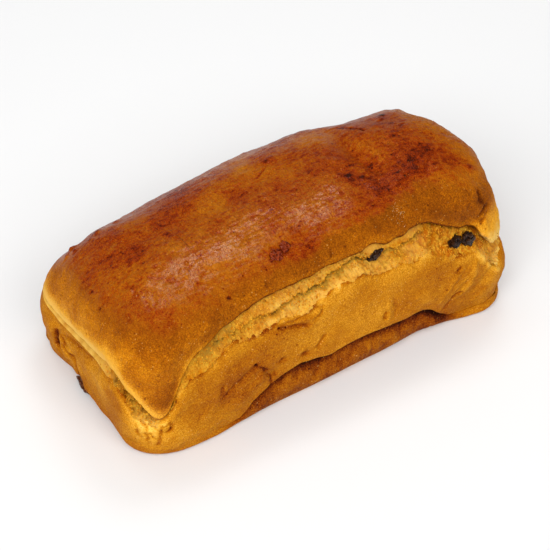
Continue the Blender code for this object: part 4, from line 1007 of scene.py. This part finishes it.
# Lid: the egg-washed top crust with its torn lip
lidLook = {
    "columns": 860, "density": (1.45, 1.15, 0.75), "rows": 100,
    "underside": ((0.0060, 1, 0.0004), (0.0026, 1, 0), (0.0012, 1, 0), (0.0005, 0.85, 0), (0.0002, 0.5, 0)),
    "jag": ((0.0040, 0.0005, 2), (0.0014, 0.00025, 5)),  # noise: (size, depth, seed)
    "relief": ((0.0060, 0.000352, 3), (0.0024, 0.00007, 7)), "streakSize": (0.0050, 0.0016, 0.0030),
    "streak": 0.00022, "skinSize": (0.0042, 0.0022, 0.0026), "wrinkle": 0.00034, "flareWidth": 0.0105,
    "blisters": 170, "seed": 11, "blisterRadius": (0.0009, 0.0024), "blisterLift": (0.0001, 0.0005),
    "bake": 0.55, "glazed": 0.09, "patch": ((0.024, 0.10, 14),), "wrinkleShade": 0.30, "pooled": 0.11,
    "pooledWidth": 0.0022, "lipPale": 0.14, "lipPaleWidth": 0.0035, "leftPale": 0.34, "leftPaleWidth": 0.0090,
    "cornerPale": 0.42, "rightPaintedLight": 0.20, "undersidePaintedShade": 0.34,
    "glazeEdge": (
        (-115, 29, 65.6), (-115, -2, 70.6), (-108, -48, 76.9), (-95, -58, 77.2), (-84, 79.3), (-62, 80.3),
        (-45, 83.3), (-31, 84.3), (-9, 84.4), (3, 86.7), (15, 87.6), (29, 87), (39, 87.7), (51, 88.8),
        (63, 89.9), (80, 88), (89, -59.5, 84.9), (108, -47, 80), (115, 0, 78), (112, 40, 70), (0, 60, 70),
        (-60, 60, 64), (-100, 55, 55),
    ),
    "glazeFade": (
        (-115, 0, 6), (-95, -58, 4.5), (-31, 3), (0, 1), (40, 0.8), (60, 2), (108, -47, 4), (0, 60, 8),
    ),
    "flare": (  # how far the lip turns out
        (-115, 0, 0), (78, 0), (86, 1), (92, -59, 4), (100, -56, 4.2), (110, -45, 2.4), (115, 0, 2),
        (112, 40, 4), (80, 60, 3), (0, 60, 1.5), (-100, 55, 1),
    ),
    "features": (
        (((54.2, 26, 86.6), (57.6, 19.6, 89.8), (60.7, 11.2, 92.7)), 0.7, -0.8, 0.3),
        (((52, 26, 86), (47.5, 12, 90), (46.5, -2, 90.5), (47.5, -15.5, 90.5)), 1.5, -0.5, 0.06),
        (((-25.8, -32.8, 89.3), (-27.8, -35.2, 88.6), (-26.3, -39.1, 87.6)), 0.55, -0.7, 0.3),
        (((-25.2, -33.2, 89.2), (-26.6, -35.5, 88.5), (-25.2, -38.4, 87.8)), 0.7, 0.5, -0.14),
        (((81.4, 5.3, 93.6), (78, 4, 94)), 0.6, -0.6, 0.25),
        (((85.1, -8.5, 93.4), (88, -9, 92.6)), 0.7, -0.5, 0.22),
        (((84.6, -51.4, 66), (87.5, -52.8, 70), (91, -53, 73), (93, -52, 73.5)), 1.1, -1.3, 0.42),
        (((90, -48, 81.8), (88.6, -50.4, 78.5), (90.2, -51.6, 76.5), (91.3, -52.6, 74)), 1, -1, 0.36),
        (((1.7, -47.9, 83.2), (0.7, -49.6, 81)), 0.7, -0.5, 0.25),
        (((-34.7, -47.9, 82.2), (-35.7, -49.6, 80.2)), 0.8, -0.5, 0.22),
        (((-4.5, 10.5, 90.8), (-1.3, 12.1, 90.9), (3.5, 14.5, 90.9)), 0.7, -0.45, 0.34),
        (((-3.6, 13, 90.8), (2.5, 16.2, 90.8)), 0.6, 0.4, 0.05), (((-24.4, -38.8, 85.8),), 3.9, -1, 0.16),
        (((-17.7, -37.2, 86.8),), 3.2, -0.7, 0.12), (((97, 24, 85),), 15, -2.6, 0),
        (((78, 16, 92),), 13, -2.6, 0), (((105, -20, 80),), 13, 3.3, 0), (((107, -39, 72),), 10, -2.4, 0),
        (((-90, 42, 65),), 9, -1.6, 0), (((-100, -6, 76), (-92, -20, 81)), 1.6, 0.4, 0),
        (((-97, -28, 78), (-90, -34, 79)), 1.8, -0.4, 0.04),
        (((-112, 14, 48.5), (-112.6, 2, 51.5), (-113, -10, 54.5), (-113, -21, 57), (-113, -31, 59)),
         2.2, 0.9, -0.08),
        (((-102.6, -16, 75.6), (-100, -20, 77.6), (-101, -24, 76.8)), 0.6, -0.4, 0.12),
        (((-92, -15, 83), (-91.6, -20, 83), (-93.5, -24.5, 81.6), (-92, -31, 81)), 0.7, -0.4, 0.16),
        (((-82.8, -20.5, 86.4), (-78, -25, 86.4), (-73.5, -30, 86.4)), 1.2, -0.3, 0.16),
        (((-91.6, -25.2, 82.9),), 0.7, -0.6, 0.4), (((-89.2, -24, 84),), 0.6, -0.6, 0.4),
        (((-80.4, -9.4, 86.8),), 0.6, -0.6, 0.4), (((-89.9, 7.6, 81.4),), 1.4, -0.5, 0.2),
        (((-106.8, 6.4, 68.9),), 1.2, -0.4, 0.2), (((-106.8, -13.4, 71.8),), 0.9, -0.6, 0.34),
        (((-56.4, -22.5, 89.2),), 1.4, -0.4, 0.2), (((-43.4, -35.9, 86.8), (-39, -36, 87.6)), 1, -0.4, 0.16),
        (((-100.6, 34.3, 66.4),), 1.4, 0.7, 0.24), (((-96.8, 31.3, 70.8),), 1.2, 0.7, 0.26),
        (((-89.6, 28.3, 76.4),), 1.1, 0.6, 0.24), (((-73, 32, 77.5),), 1.5, 0.7, 0.22),
        (((-64, 33, 79),), 1, 0.5, 0.2), (((-50, 33, 81.4),), 1.3, 0.5, 0.18), (((92, -50, 74),), 6, 0, 0.1),
        (((96, -50, 69),), 4, 0, -0.06), (((90, -51.5, 78),), 3.5, -0.5, 0.1),
        (((99, -50, 60), (104, -48, 62)), 2.6, 0.6, -0.05),
        (((94, -52.5, 58), (97, -51, 55)), 1.6, 0.5, -0.08),
        (((84.4, -51, 62), (88.2, -53, 64.6), (90.6, -54.8, 68.3), (93, -54.4, 70)), 1.2, -1.1, 0.44),
        (((20, -2, 93), (30, 2, 92.5), (38, -4, 92)), 2, 0.5, 0.02),
        (((-38, -26, 89.5), (-30, -20, 90.5)), 2.4, -0.5, 0.05), (((-104.6, -1, 72.9),), 0.9, -0.8, 0.5),
        (((-110.9, -19.8, 65.5),), 0.55, -0.7, 0.6), (((-55.5, -46.7, 80.7),), 0.65, -0.9, 0.75),
        (((-106.8, -12.9, 71.9),), 0.8, -0.5, 0.3), (((-96.6, 35, 68.5),), 2.4, 1.2, 0.18),
        (((-84.6, 30.3, 77),), 2.2, 1.1, 0.12), (((79.2, 23.9, 87.2),), 3.2, 1.3, 0.22),
        (((5.9, 18.4, 90.7),), 2.6, 0.7, 0.3), (((10, 19.5, 90.5),), 2, 0.5, 0.22),
        (((33.8, -14.2, 92.8),), 1.6, 0.7, 0.3), (((39.3, -18.9, 92),), 1.3, 0.6, 0.34),
        (((30.5, -12.5, 92.6),), 1.4, 0.6, 0.2), (((76.6, 9.6, 93.4),), 2.2, 0.6, 0.16),
        (((57, 9.1, 92.8),), 2.2, 0.5, 0.08), (((52.6, -10.4, 92.3),), 1.4, 0.5, 0.1),
        (((93.3, -35.6, 86),), 2.2, 0.8, 0.32), (((66.9, -23.3, 93.8),), 1.6, 0.5, 0.2),
        (((44, -24, 91.5),), 1.3, 0.5, 0.16),
    ),
    "flour": (
        (42.7, -43.6, 86.4, 2.4, 1), (44.8, -40.4, 87.6, 1.8, 0.8), (44.1, -44.1, 86.1, 1.8, 0.8),
        (43.4, -47.9, 84, 2.2, 0.7), (40, -46, 84.8, 4, 0.12),
    ),
    # painted light on the lower front left of the lid, one small spot darker
    "paintedLightSpots": (
        (-103, -46, 71, 6, 0.05), (-88, -57, 66, 13, -0.12), (-97, -54, 58, 10, -0.1),
        (-74, -57, 73, 10, -0.07), (-104, -44, 68, 12, -0.05),
    ),
    "shine": (
        (-87, -30, 84, 11, 0.8), (-93, -26, 82, 7, 0.5), (-70, -27, 87.5, 11, 0.7), (-55, -23, 89.4, 12, 0.8),
        (-40, -25, 90, 12, 0.8), (-24, -15, 91.6, 11, 0.7), (-7, -14, 92.7, 11, 0.7), (7, -26, 92, 11, 1.1),
        (20, -20, 93, 9, 0.8), (34, -22, 92.5, 8, 0.35), (36, 20, 89, 9, 0.5), (99, -10, 86.5, 7, 0.4),
        (97, -24, 85.5, 6, 0.4),
    ),
    # darker baked patches where positive; the large negative spots on the front of the crown are painted light
    # where the sheen falls
    "patches": (
        (-97.9, 7.5, 76.8, 9, 0.1), (-105, 4, 71, 8, 0.13), (-103, -12, 75, 6, 0.1), (-100, 24, 70, 8, 0.05),
        (-91.2, 4.3, 81.4, 9, 0.03), (-86, 18, 81, 8, 0.06), (-80.6, 3.2, 84.8, 10, 0.05),
        (-69.8, 2.7, 86.5, 9, 0.04), (-21, 3.7, 90.1, 8, 0.1), (-20.8, -5.4, 91.5, 7, 0.08),
        (-58, -28, 88, 15, -0.15), (-28, -26, 90, 15, -0.14), (12, -27, 92, 14, -0.17),
        (-91, -30, 82, 13, -0.09), (33.6, -16.3, 92.7, 5, 0.12), (57.8, -24.7, 93, 9, 0.13),
        (66, -24, 93.5, 9, 0.14), (88, -29.9, 89.7, 6, 0.14), (12, -4.5, 92.8, 10, 0.07),
        (34.7, -10, 92.8, 8, 0.12), (70, -7, 94.9, 9, 0.1), (84, -22, 92, 8, 0.09), (6, -26.5, 92, 9, -0.06),
        (36, 23, 88.5, 9, -0.12), (-58, 24, 83.4, 8, 0.05), (90, -44, 83, 8, -0.05), (44.3, -27, 91, 8, 0.1),
        (74.5, -18.2, 94, 8, 0.12), (7.4, -11.2, 93, 9, 0.06), (36, 5, 91.5, 14, 0.04), (20, 24, 89, 16, 0),
        (-45, 30, 82, 16, 0.02), (-7.2, 21.7, 89, 5, -0.2), (12, -4, 93, 8, -0.09), (-17, 25, 87, 9, -0.07),
        (36, 25, 88, 8, -0.06), (-1, 32, 85, 7, -0.14), (94, -44, 82, 6, -0.06), (-32.8, 2.3, 89.5, 7, -0.16),
        (-64.3, -10.4, 89.4, 7, -0.12), (-84.1, 10, 83.2, 5, -0.12), (-74.9, -27.6, 86.9, 14, -0.04),
        (-100, 30, 66, 10, -0.1),
    ),
}


def lipEdge(rim):  # the lower edge of the lid, more ragged at its two hanging corners
    x, y = rim["points"].T
    ragged = 0.3 + 0.7 * around(rim, crumbTables["torn"], 1)
    ragged = ragged + soften(x, 0.086, 0.092) * soften(-y, 0.03, 0.045) * 2
    ragged = ragged + (0.9 * soften(-x, 0.100, 0.112) + 2.4 * np.exp(-(((x + 0.101) / 0.007) ** 2)) * (y < 0))
    return around(rim, edgeTables["lip"]) + layered(ringAt(rim, 0, 0.07), lidLook["jag"]) * ragged


def lidRings(rim, lip):
    look = lidLook
    inset = around(rim, loafForm["lipInset"])
    thick = loafForm["lipThickness"] * (1 + noiseOf(ringAt(rim, 0, 0.07), 0.005, 9) * 0.5)
    inside = [insideRing(rim, 0.9, 0.052), insideRing(rim, 0.4, 0.054)]
    under = [ringAt(rim, -inset - back, lip - thick * share + rise) for back, share, rise in look["underside"]]
    outer = [*under, *crustRings(rim, look["rows"], lip)]
    flare = around(rim, look["flare"])
    for ring in outer:
        out = flare * np.exp(-((np.clip(ring[:, 2] - lip, -0.002, 1) / look["flareWidth"]) ** 2))
        ring[:, :2] += rim["normals"] * out[:, None]
    return [*inside, *outer], len(inside) + len(under)


def makeLid():
    look = lidLook
    rim = makeRim(look["columns"], look["density"])
    torn, lip = around(rim, crumbTables["torn"], 1), lipEdge(rim)
    rings, first = lidRings(rim, lip)
    grid = toSize(plainGrid(rings))
    x, y, height = np.moveaxis(grid, -1, 0)
    depth, shade = addFeatures(grid, look["features"])
    depth += layered(grid, look["relief"])
    depth += noiseOf(grid / look["streakSize"], 1.0, 4) * look["streak"]
    limit = around(rim, look["glazeEdge"]) + noiseOf(grid, 0.0045, 6) * 0.0012
    fade = around(rim, look["glazeFade"])
    glaze = soften(height, limit - fade, limit + fade)
    shine = np.clip(spots(grid, look["shine"]), 0, 1)
    ridged = 0.25 - np.abs(noiseOf(grid / look["skinSize"], 1.0, 17))
    depth += ridged * look["wrinkle"] * (0.35 + 0.65 * shine) * glaze
    random = np.random.default_rng(look["seed"])
    for _ in range(look["blisters"]):
        row, column = random.integers(first + 20, len(grid)), random.integers(0, rim["columns"])
        radius, lift = random.uniform(*look["blisterRadius"]), random.uniform(*look["blisterLift"])
        near = np.exp(-((np.linalg.norm(grid - grid[row, column], axis=2) / radius) ** 2))
        depth += near * lift * glaze[row, column]
        shade += near * random.uniform(0, 0.14) * glaze[row, column]
    moved = gridNormals(grid) * depth[..., None]
    grid[first - 2:] += moved[first - 2:]

    above = height - lip
    bake = look["bake"] + look["glazed"] * glaze + layered(grid, look["patch"]) + shade
    # listed patches on the glaze, and painted shade on the skin's wrinkles: lighter ridges, darker valleys
    bake += spots(grid, look["patches"]) * glaze - ridged * look["wrinkleShade"] * glaze
    pooled = np.exp(-(((height - limit - look["pooledWidth"]) / look["pooledWidth"]) ** 2)) * (y < 0)
    bake += look["pooled"] * pooled * soften(x, -0.040, 0.005) * soften(-x, -0.064, -0.046)
    hanging = soften(-rim["points"][:, 0], 0.060, 0.085)
    bake -= look["lipPale"] * (1 + hanging) * np.exp(-((above / look["lipPaleWidth"]) ** 2))
    bake -= 0.10 * (1 - glaze) * soften(-x, 0.09, 0.115)
    corner = soften(x, 0.0815, 0.0915) * soften(0.0770 - height, 0, 0.020) * (y < -0.03)
    # painted light on the lower front left, where the lid curves away from the light; one small spot darker
    bake += spots(grid, look["paintedLightSpots"])
    # the pale flap at the right corner, and painted light making the right end lighter where it turns from the
    # light
    bake -= corner * look["cornerPale"] + look["rightPaintedLight"] * soften(x, 0.078, 0.102)
    # painted shade on the underside of the torn lip
    bake[:first] += look["undersidePaintedShade"] * torn
    leftEnd = soften(-x, 0.092, 0.110)
    leftPale = look["leftPale"] * np.exp(-((above / look["leftPaleWidth"]) ** 2))
    bake -= leftEnd * (leftPale + 0.12 * soften(0.074 - height, 0, 0.012))
    leftRim = (1 - 0.6 * torn) * np.exp(-((above / 0.0042) ** 2)) * leftEnd
    pale = corner * soften(0.0590 - height + noiseOf(grid, 0.003, 5) * 0.004, 0, 0.006) * 0.85 + leftRim * 0.62
    gloss = glaze * np.clip(0.08 + shine * (1.05 + 1.0 * ridged) + 0.9 * soften(y, 0.012, 0.034), 0.1, 1.3)
    flaky = torn * np.exp(-((np.clip(above - 0.0006, 0, 1) / 0.0014) ** 2)) * soften(x, -0.02, 0.03)
    values = {"bake": bake, "glaze": glaze, "gloss": gloss, "pale": np.clip(pale, 0, 0.9),
              "flour": np.clip(spots(grid, look["flour"]), 0, 1), "flaky": flaky * (y < -0.04)}
    return makePiece("lid_crust", rim, grid, values, lidMaterial)


# Raisins: lumpier than their CAD solids, and close to them in place and size
raisinForm = {
    "swell": {"dark": 1.12, "red": 1.20, "brown": 0.90}, "flat": {"dark": 1.0, "red": 0.92, "brown": 0.9},
    "lump": {"dark": 0.34, "red": 0.50, "brown": 0.30}, "lumpScale": 1.9, "groove": 0.22, "grooveScale": 4.2,
    "wrinkle": 0.40, "wrinkleScale": 8.0, "wrinkleWidth": 0.22, "levels": 5,
    "list": (  # node, middle, half sizes, turn in degrees, seed, kind
        ("raisin_tear_a", (0.0736, -0.0520, 0.0582), (0.0041, 0.0031, 0.0023), (20, -14, -12), 3, "dark"),
        ("raisin_tear_b", (0.0817, -0.0525, 0.0564), (0.0033, 0.0032, 0.0042), (15, 10, 0), 5, "dark"),
        ("raisin_crease", (0.0258, -0.0497, 0.0714), (0.0045, 0.0027, 0.0020), (10, -14, 4), 8, "dark"),
        ("raisin_crust_a", (-0.0241, -0.0389, 0.0862), (0.0036, 0.0030, 0.0025), (25, 10, 20), 11, "red"),
        ("raisin_crust_b", (-0.0181, -0.0375, 0.0870), (0.0026, 0.0031, 0.0023), (30, 0, -20), 14, "red"),
        ("raisin_base", (-0.1096, 0.0062, 0.0040), (0.0030, 0.0082, 0.0034), (0, 0, -5), 17, "brown"),
    ),
    "tones": {"dark": ((22, 12, 7), (66, 38, 22)), "red": ((86, 22, 3), (150, 56, 8)),
              "brown": ((70, 34, 16), (112, 60, 28))},
    "coat": {"dark": 0.36, "red": 0.30, "brown": 0.3}, "coatRoughness": 0.14,
    "specular": {"dark": 0.3, "red": 0.2, "brown": 0.3}, "cloud": 620.0, "bumps": 1300.0, "bumpHeight": 0.0006,
}


def raisinMaterial(kind):
    look = raisinForm
    material, tree, shader, place = newMaterial(kind + "RaisinMaterial")
    cloud = noiseNode(tree, place, look["cloud"], 4.0, 0.6)
    deep, worn = (tone(*colour) for colour in look["tones"][kind])
    feed(tree, shader.inputs, {
        "Base Color": blendColour(tree, span(tree, cloud, 0.40, 0.66), deep, worn),
        "Roughness": span(tree, cloud, 0.3, 0.7, 0.16, 0.40), "Coat Weight": look["coat"][kind],
        "Coat Roughness": look["coatRoughness"], "Specular IOR Level": look["specular"][kind]})
    bumps = noiseNode(tree, place, look["bumps"], 4.0, 0.6, distortion=0.6)
    bumpInto(tree, shader, bumps, 0.7, look["bumpHeight"])
    return material


def makeRaisin(name, centre, halves, turn, seed, kind, material):
    look = raisinForm
    bm = bmesh.new()
    bmesh.ops.create_icosphere(bm, subdivisions=look["levels"], radius=1)
    for vert in bm.verts:
        way = vert.co.normalized()
        size = 1 + noise.noise(way * look["lumpScale"] + Vector((seed, 0, 0))) * look["lump"][kind]
        size -= abs(noise.noise(way * look["grooveScale"] + Vector((0, seed, 0)))) * look["groove"]
        wrinkle = abs(noise.noise(way * look["wrinkleScale"] + Vector((0, 0, seed))))
        size -= max(0.0, look["wrinkleWidth"] - wrinkle) * look["wrinkle"]
        vert.co = Vector(a * h * size * look["swell"][kind] for a, h in zip(way, halves))
        vert.co.z *= look["flat"][kind]
    bm.transform(Matrix.Translation(centre) @ Euler([math.radians(a) for a in turn]).to_matrix().to_4x4())
    mesh = bpy.data.meshes.new(name)
    bm.to_mesh(mesh)
    bm.free()
    mesh.shade_smooth()
    mesh.materials.append(material)
    raisin = bpy.data.objects.new(name, mesh)
    scene.collection.objects.link(raisin)
    return raisin


def makeRaisins():
    materials = {kind: raisinMaterial(kind) for kind in raisinForm["tones"]}
    made = [(makeRaisin(node + "_skin", *shape, kind, materials[kind]), node)
            for node, *shape, kind in raisinForm["list"]]
    print("raisins", len(made))
    return made


sideCrust, tornCrumb, lid = makeSideCrust(), makeTornCrumb(), makeLid()
raisins = makeRaisins()

# Loose bits, scattered over a surface by one of its attributes: sizes in metres, density for a square metre
scatterLook = {
    "crumb_grains": {
        "on": tornCrumb, "share": "loose", "density": 1.7e6, "small": 0.00012, "large": 0.00055,
        "shape": (1.0, 0.8, 0.65), "lump": 1.1, "seed": 4, "tones": ((226, 166, 46), (188, 108, 8))},
    "crumb_strands": {
        "on": tornCrumb, "share": "strings", "density": 3.4e5, "small": 0.0005, "large": 0.0016,
        "shape": (1.0, 0.10, 0.10), "lump": 0.20, "seed": 9, "tones": ((226, 166, 56), (192, 118, 16))},
    "edge_crumbs": {
        "on": sideCrust, "share": "loose", "density": 3.0e5, "small": 0.00015, "large": 0.00050,
        "shape": (1.0, 0.8, 0.6), "lump": 1.0, "seed": 5, "tones": ((222, 170, 66), (170, 98, 14))},
    "lip_flakes": {
        "on": lid, "share": "flaky", "density": 3.0e5, "small": 0.00020, "large": 0.00065,
        "shape": (1.0, 0.7, 0.20), "lump": 0.9, "seed": 7, "tones": ((182, 116, 24), (150, 84, 8))},
    "flour_specks": {
        "on": lid, "share": "flour", "density": 1.1e6, "small": 0.00009, "large": 0.00024,
        "shape": (1.0, 0.7, 0.45), "lump": 0.8, "seed": 2, "tones": ((236, 208, 156), (220, 180, 112))},
}


def looseMaterial(name, tones):
    material, tree, shader, place = newMaterial(name)
    cloud = span(tree, noiseNode(tree, place, 700.0, 3.0, 0.6), 0.38, 0.62)
    feed(tree, shader.inputs, {
        "Base Color": blendColour(tree, cloud, tone(*tones[0]), tone(*tones[1])), "Roughness": 0.75,
        "Specular IOR Level": 0.05, "Subsurface Weight": 0.10, "Subsurface Radius": (0.002, 0.001, 0.0004)})
    bumpInto(tree, shader, noiseNode(tree, place, 2400.0, 3.0, 0.6), 0.5, 0.0003)
    return material


def strandMesh(tree):  # a bowed, tapered strand
    curve = addNode(tree, "GeometryNodeCurveQuadraticBezier", {
        "Resolution": 7, "Start": (-1.0, 0.0, -0.06), "Middle": (0.1, 0.12, 0.34), "End": (1.0, -0.08, -0.06)})
    along = addNode(tree, "GeometryNodeSplineParameter").outputs["Factor"]
    taper = calc(tree, "SINE", calc(tree, "MULTIPLY_ADD", along, 2.7, 0.22))
    curve = addNode(tree, "GeometryNodeSetCurveRadius", {"Curve": curve.outputs["Curve"], "Radius": taper})
    ring = addNode(tree, "GeometryNodeCurvePrimitiveCircle", {"Resolution": 6, "Radius": 1.0}, mode="RADIUS")
    ring = addNode(tree, "GeometryNodeTransform", {
        "Geometry": ring.outputs["Curve"], "Scale": (0.15, 0.15, 0.15)})
    parts = {"Curve": curve.outputs["Curve"], "Profile Curve": ring.outputs["Geometry"], "Fill Caps": True}
    return addNode(tree, "GeometryNodeCurveToMesh", parts).outputs["Mesh"]


def grainMesh(tree, shape):
    ball = addNode(tree, "GeometryNodeMeshIcoSphere", {"Radius": 1.0, "Subdivisions": 1}).outputs["Mesh"]
    return addNode(tree, "GeometryNodeTransform", {"Geometry": ball, "Scale": shape}).outputs["Geometry"]


def lumpy(tree, bit, lump):
    place = addNode(tree, "GeometryNodeInputPosition").outputs[0]
    push = calc(tree, "MULTIPLY", calc(tree, "SUBTRACT", noiseNode(tree, place, 1.3, 2.0, 0.6), 0.5), lump)
    normal = addNode(tree, "GeometryNodeInputNormal").outputs[0]
    outward = addNode(tree, "ShaderNodeVectorMath", {0: normal, "Scale": push}, operation="SCALE").outputs[0]
    moved = addNode(tree, "GeometryNodeSetPosition", {"Geometry": bit, "Offset": outward}).outputs["Geometry"]
    return addNode(tree, "GeometryNodeSetShadeSmooth", {"Geometry": moved}).outputs["Geometry"]


def scatterTree(name, look, stringy):
    tree = bpy.data.node_groups.new(name, "GeometryNodeTree")
    sockets = [("Geometry", "Geometry"), *((key, "Float") for key in ("Density", "Small", "Large", "Lump")),
               ("Shape", "Vector"), ("Seed", "Int")]
    for key, kind in sockets:
        tree.interface.new_socket(key, in_out="INPUT", socket_type="NodeSocket" + kind)
    tree.interface.new_socket("Geometry", in_out="OUTPUT", socket_type="NodeSocketGeometry")
    start, end = addNode(tree, "NodeGroupInput").outputs, addNode(tree, "NodeGroupOutput")
    share = addNode(tree, "GeometryNodeInputNamedAttribute", {"Name": look["share"]}, data_type="FLOAT")
    density = calc(tree, "MULTIPLY", share.outputs["Attribute"], start["Density"])
    points = addNode(tree, "GeometryNodeDistributePointsOnFaces", {
        "Mesh": start["Geometry"], "Density": density, "Seed": start["Seed"]}).outputs
    if stringy:  # strands run down the tear, and grains lie any way round
        down = {"Rotation": points["Rotation"], "Vector": (0.12, 0.0, -1.0)}
        base = addNode(tree, "FunctionNodeAlignRotationToVector", down, axis="X", pivot_axis="Z").outputs[0]
        bit, least, most = strandMesh(tree), (-0.25, -0.3, -0.55), (0.25, 0.3, 0.55)
    else:
        base = points["Rotation"]
        bit, least, most = grainMesh(tree, start["Shape"]), (-0.4, -0.4, 0.0), (0.4, 0.4, 6.28)
    turn = addNode(tree, "FunctionNodeRandomValue", {0: least, 1: most, "Seed": start["Seed"]},
                   data_type="FLOAT_VECTOR").outputs[0]
    turn = addNode(tree, "FunctionNodeEulerToRotation", {"Euler": turn}).outputs[0]
    turned = addNode(tree, "FunctionNodeRotateRotation", {"Rotation": base, "Rotate By": turn},
                     rotation_space="LOCAL").outputs[0]
    chance = addNode(tree, "FunctionNodeRandomValue", {"Seed": calc(tree, "ADD", start["Seed"], 17.0)},
                     data_type="FLOAT").outputs[1]
    skewed = calc(tree, "POWER", chance, 2.0)  # many small ones, few large ones
    wider = calc(tree, "SUBTRACT", start["Large"], start["Small"])
    placed = addNode(tree, "GeometryNodeInstanceOnPoints", {
        "Points": points["Points"], "Instance": lumpy(tree, bit, start["Lump"]), "Rotation": turned,
        "Scale": calc(tree, "MULTIPLY_ADD", skewed, wider, start["Small"])}).outputs["Instances"]
    solid = addNode(tree, "GeometryNodeRealizeInstances", {"Geometry": placed}).outputs["Geometry"]
    named = addNode(tree, "GeometryNodeSetMaterial", {
        "Geometry": solid, "Material": looseMaterial(name + "Material", look["tones"])})
    tree.links.new(named.outputs["Geometry"], end.inputs["Geometry"])
    return tree


def scatter(name, look):
    tree = scatterTree(name, look, stringy=name == "crumb_strands")
    holder = bpy.data.objects.new(name + "_surface", look["on"].data)
    scene.collection.objects.link(holder)
    modifier = holder.modifiers.new("scatter", "NODES")
    modifier.node_group = tree
    sockets = {item.name: item.identifier for item in tree.interface.items_tree if item.in_out == "INPUT"}
    for key in ("density", "small", "large", "lump", "shape", "seed"):
        modifier[sockets[key.capitalize()]] = look[key]
    depsgraph = bpy.context.evaluated_depsgraph_get()
    mesh = bpy.data.meshes.new_from_object(holder.evaluated_get(depsgraph), depsgraph=depsgraph)
    mesh.name = name
    bpy.data.objects.remove(holder)
    piece = bpy.data.objects.new(name, mesh)
    scene.collection.objects.link(piece)
    print(name, len(mesh.polygons), "faces")
    return piece


bits = [scatter(name, look) for name, look in scatterLook.items()]

# Camera, floor and light
viewLook = {
    "elevation": 43.0, "azimuth": -32.1, "distance": 1.0, "middle": (0, 0, 0.04),
    "focal": 1951.0, "aimDown": 13.7, "aimLeft": 0.2,  # in pixels of a picture 550 wide
    "pictureWidth": 550, "sensorWidth": 36,
}
lightLook = {
    "world": 0.30, "worldGloss": 0.02,
    "soft": (  # place, size x, size y, watts, whether it is seen in the glaze
        ((0.30, 0.28, 1.05), 0.40, 0.34, 2.3, True), ((-0.13, 0.33, 1.05), 0.22, 0.24, 0.9, True),
        ((0.30, -1.10, 1.20), 0.34, 0.34, 1.6, True), ((0.90, 2.10, 0.42), 2.2, 0.6, 3.6, True),
        ((-2.0, -1.9, 2.75), 2.2, 2.2, 95.0, False),
        ((-0.2, -3.1, 2.75), 2.2, 2.2, 66.0, False), ((-2.75, -0.5, 1.4), 2.0, 2.0, 22.0, False),
    ),
}


def addCamera():
    look = viewLook
    azimuth, elevation = math.radians(look["azimuth"]), math.radians(look["elevation"])
    flat = math.cos(elevation)
    back = Vector((math.sin(azimuth) * flat, -math.cos(azimuth) * flat, math.sin(elevation)))
    right = Vector((math.cos(azimuth), math.sin(azimuth), 0))
    middle = Vector(look["middle"])
    place = middle + back * look["distance"]
    shift = back.cross(right) * look["aimDown"] + right * look["aimLeft"]
    aim = middle - shift / look["focal"] * look["distance"]
    camera = bpy.data.objects.new("camera", bpy.data.cameras.new("camera"))
    scene.collection.objects.link(camera)
    camera.data.sensor_width = look["sensorWidth"]
    camera.data.lens = look["focal"] / look["pictureWidth"] * look["sensorWidth"]
    camera.location = place
    camera.rotation_euler = (aim - place).to_track_quat("-Z", "Y").to_euler()
    scene.camera = camera


floorLook = {"half": 3.0, "grey": (0.765, 0.775), "clouds": 3.0, "roughness": 0.9, "specular": 0.1}


def addFloor():
    look = floorLook
    mesh = bpy.data.meshes.new("floor")
    corners = [(x * look["half"], y * look["half"], 0) for x, y in ((-1, -1), (1, -1), (1, 1), (-1, 1))]
    mesh.from_pydata(corners, [], [(0, 1, 2, 3)])
    material, tree, shader, place = newMaterial("floorMaterial")
    shade = span(tree, noiseNode(tree, place, look["clouds"]), 0.0, 1.0, *look["grey"])
    colour = addNode(tree, "ShaderNodeCombineColor", {"Red": shade, "Green": shade, "Blue": shade}).outputs[0]
    feed(tree, shader.inputs, {
        "Base Color": colour, "Roughness": look["roughness"], "Specular IOR Level": look["specular"]})
    mesh.materials.append(material)
    floor = bpy.data.objects.new("floor", mesh)
    scene.collection.objects.link(floor)


def addLight():
    world = bpy.data.worlds.new("studio")
    world.use_nodes = True
    tree = world.node_tree
    gloss = addNode(tree, "ShaderNodeLightPath").outputs["Is Glossy Ray"]  # the studio's walls are dark
    plain, darker = lightLook["world"], lightLook["worldGloss"]
    strength = calc(tree, "MULTIPLY_ADD", gloss, darker - plain, plain)
    feed(tree, tree.nodes["Background"].inputs, {"Strength": strength, "Color": (1, 1, 1, 1)})
    scene.world = world
    for number, (place, wide, long, watts, seen) in enumerate(lightLook["soft"]):
        data = bpy.data.lights.new("softbox%d" % number, "AREA")
        data.shape, data.size, data.size_y, data.energy = "RECTANGLE", wide, long, watts
        lamp = bpy.data.objects.new("softbox%d" % number, data)
        lamp.location = place
        lamp.rotation_euler = (Vector(viewLook["middle"]) - Vector(place)).to_track_quat("-Z", "Y").to_euler()
        lamp.visible_glossy = seen
        scene.collection.objects.link(lamp)
    scene.view_settings.view_transform = "Standard"


addCamera()
addFloor()
addLight()
print("camera, floor and light ready")

for bit in bits:
    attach(bit, "root")
for piece in (sideCrust, tornCrumb, lid):
    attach(piece, "root")
    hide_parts("loaf")
for raisin, node in raisins:
    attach(raisin, "root")
    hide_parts(node)
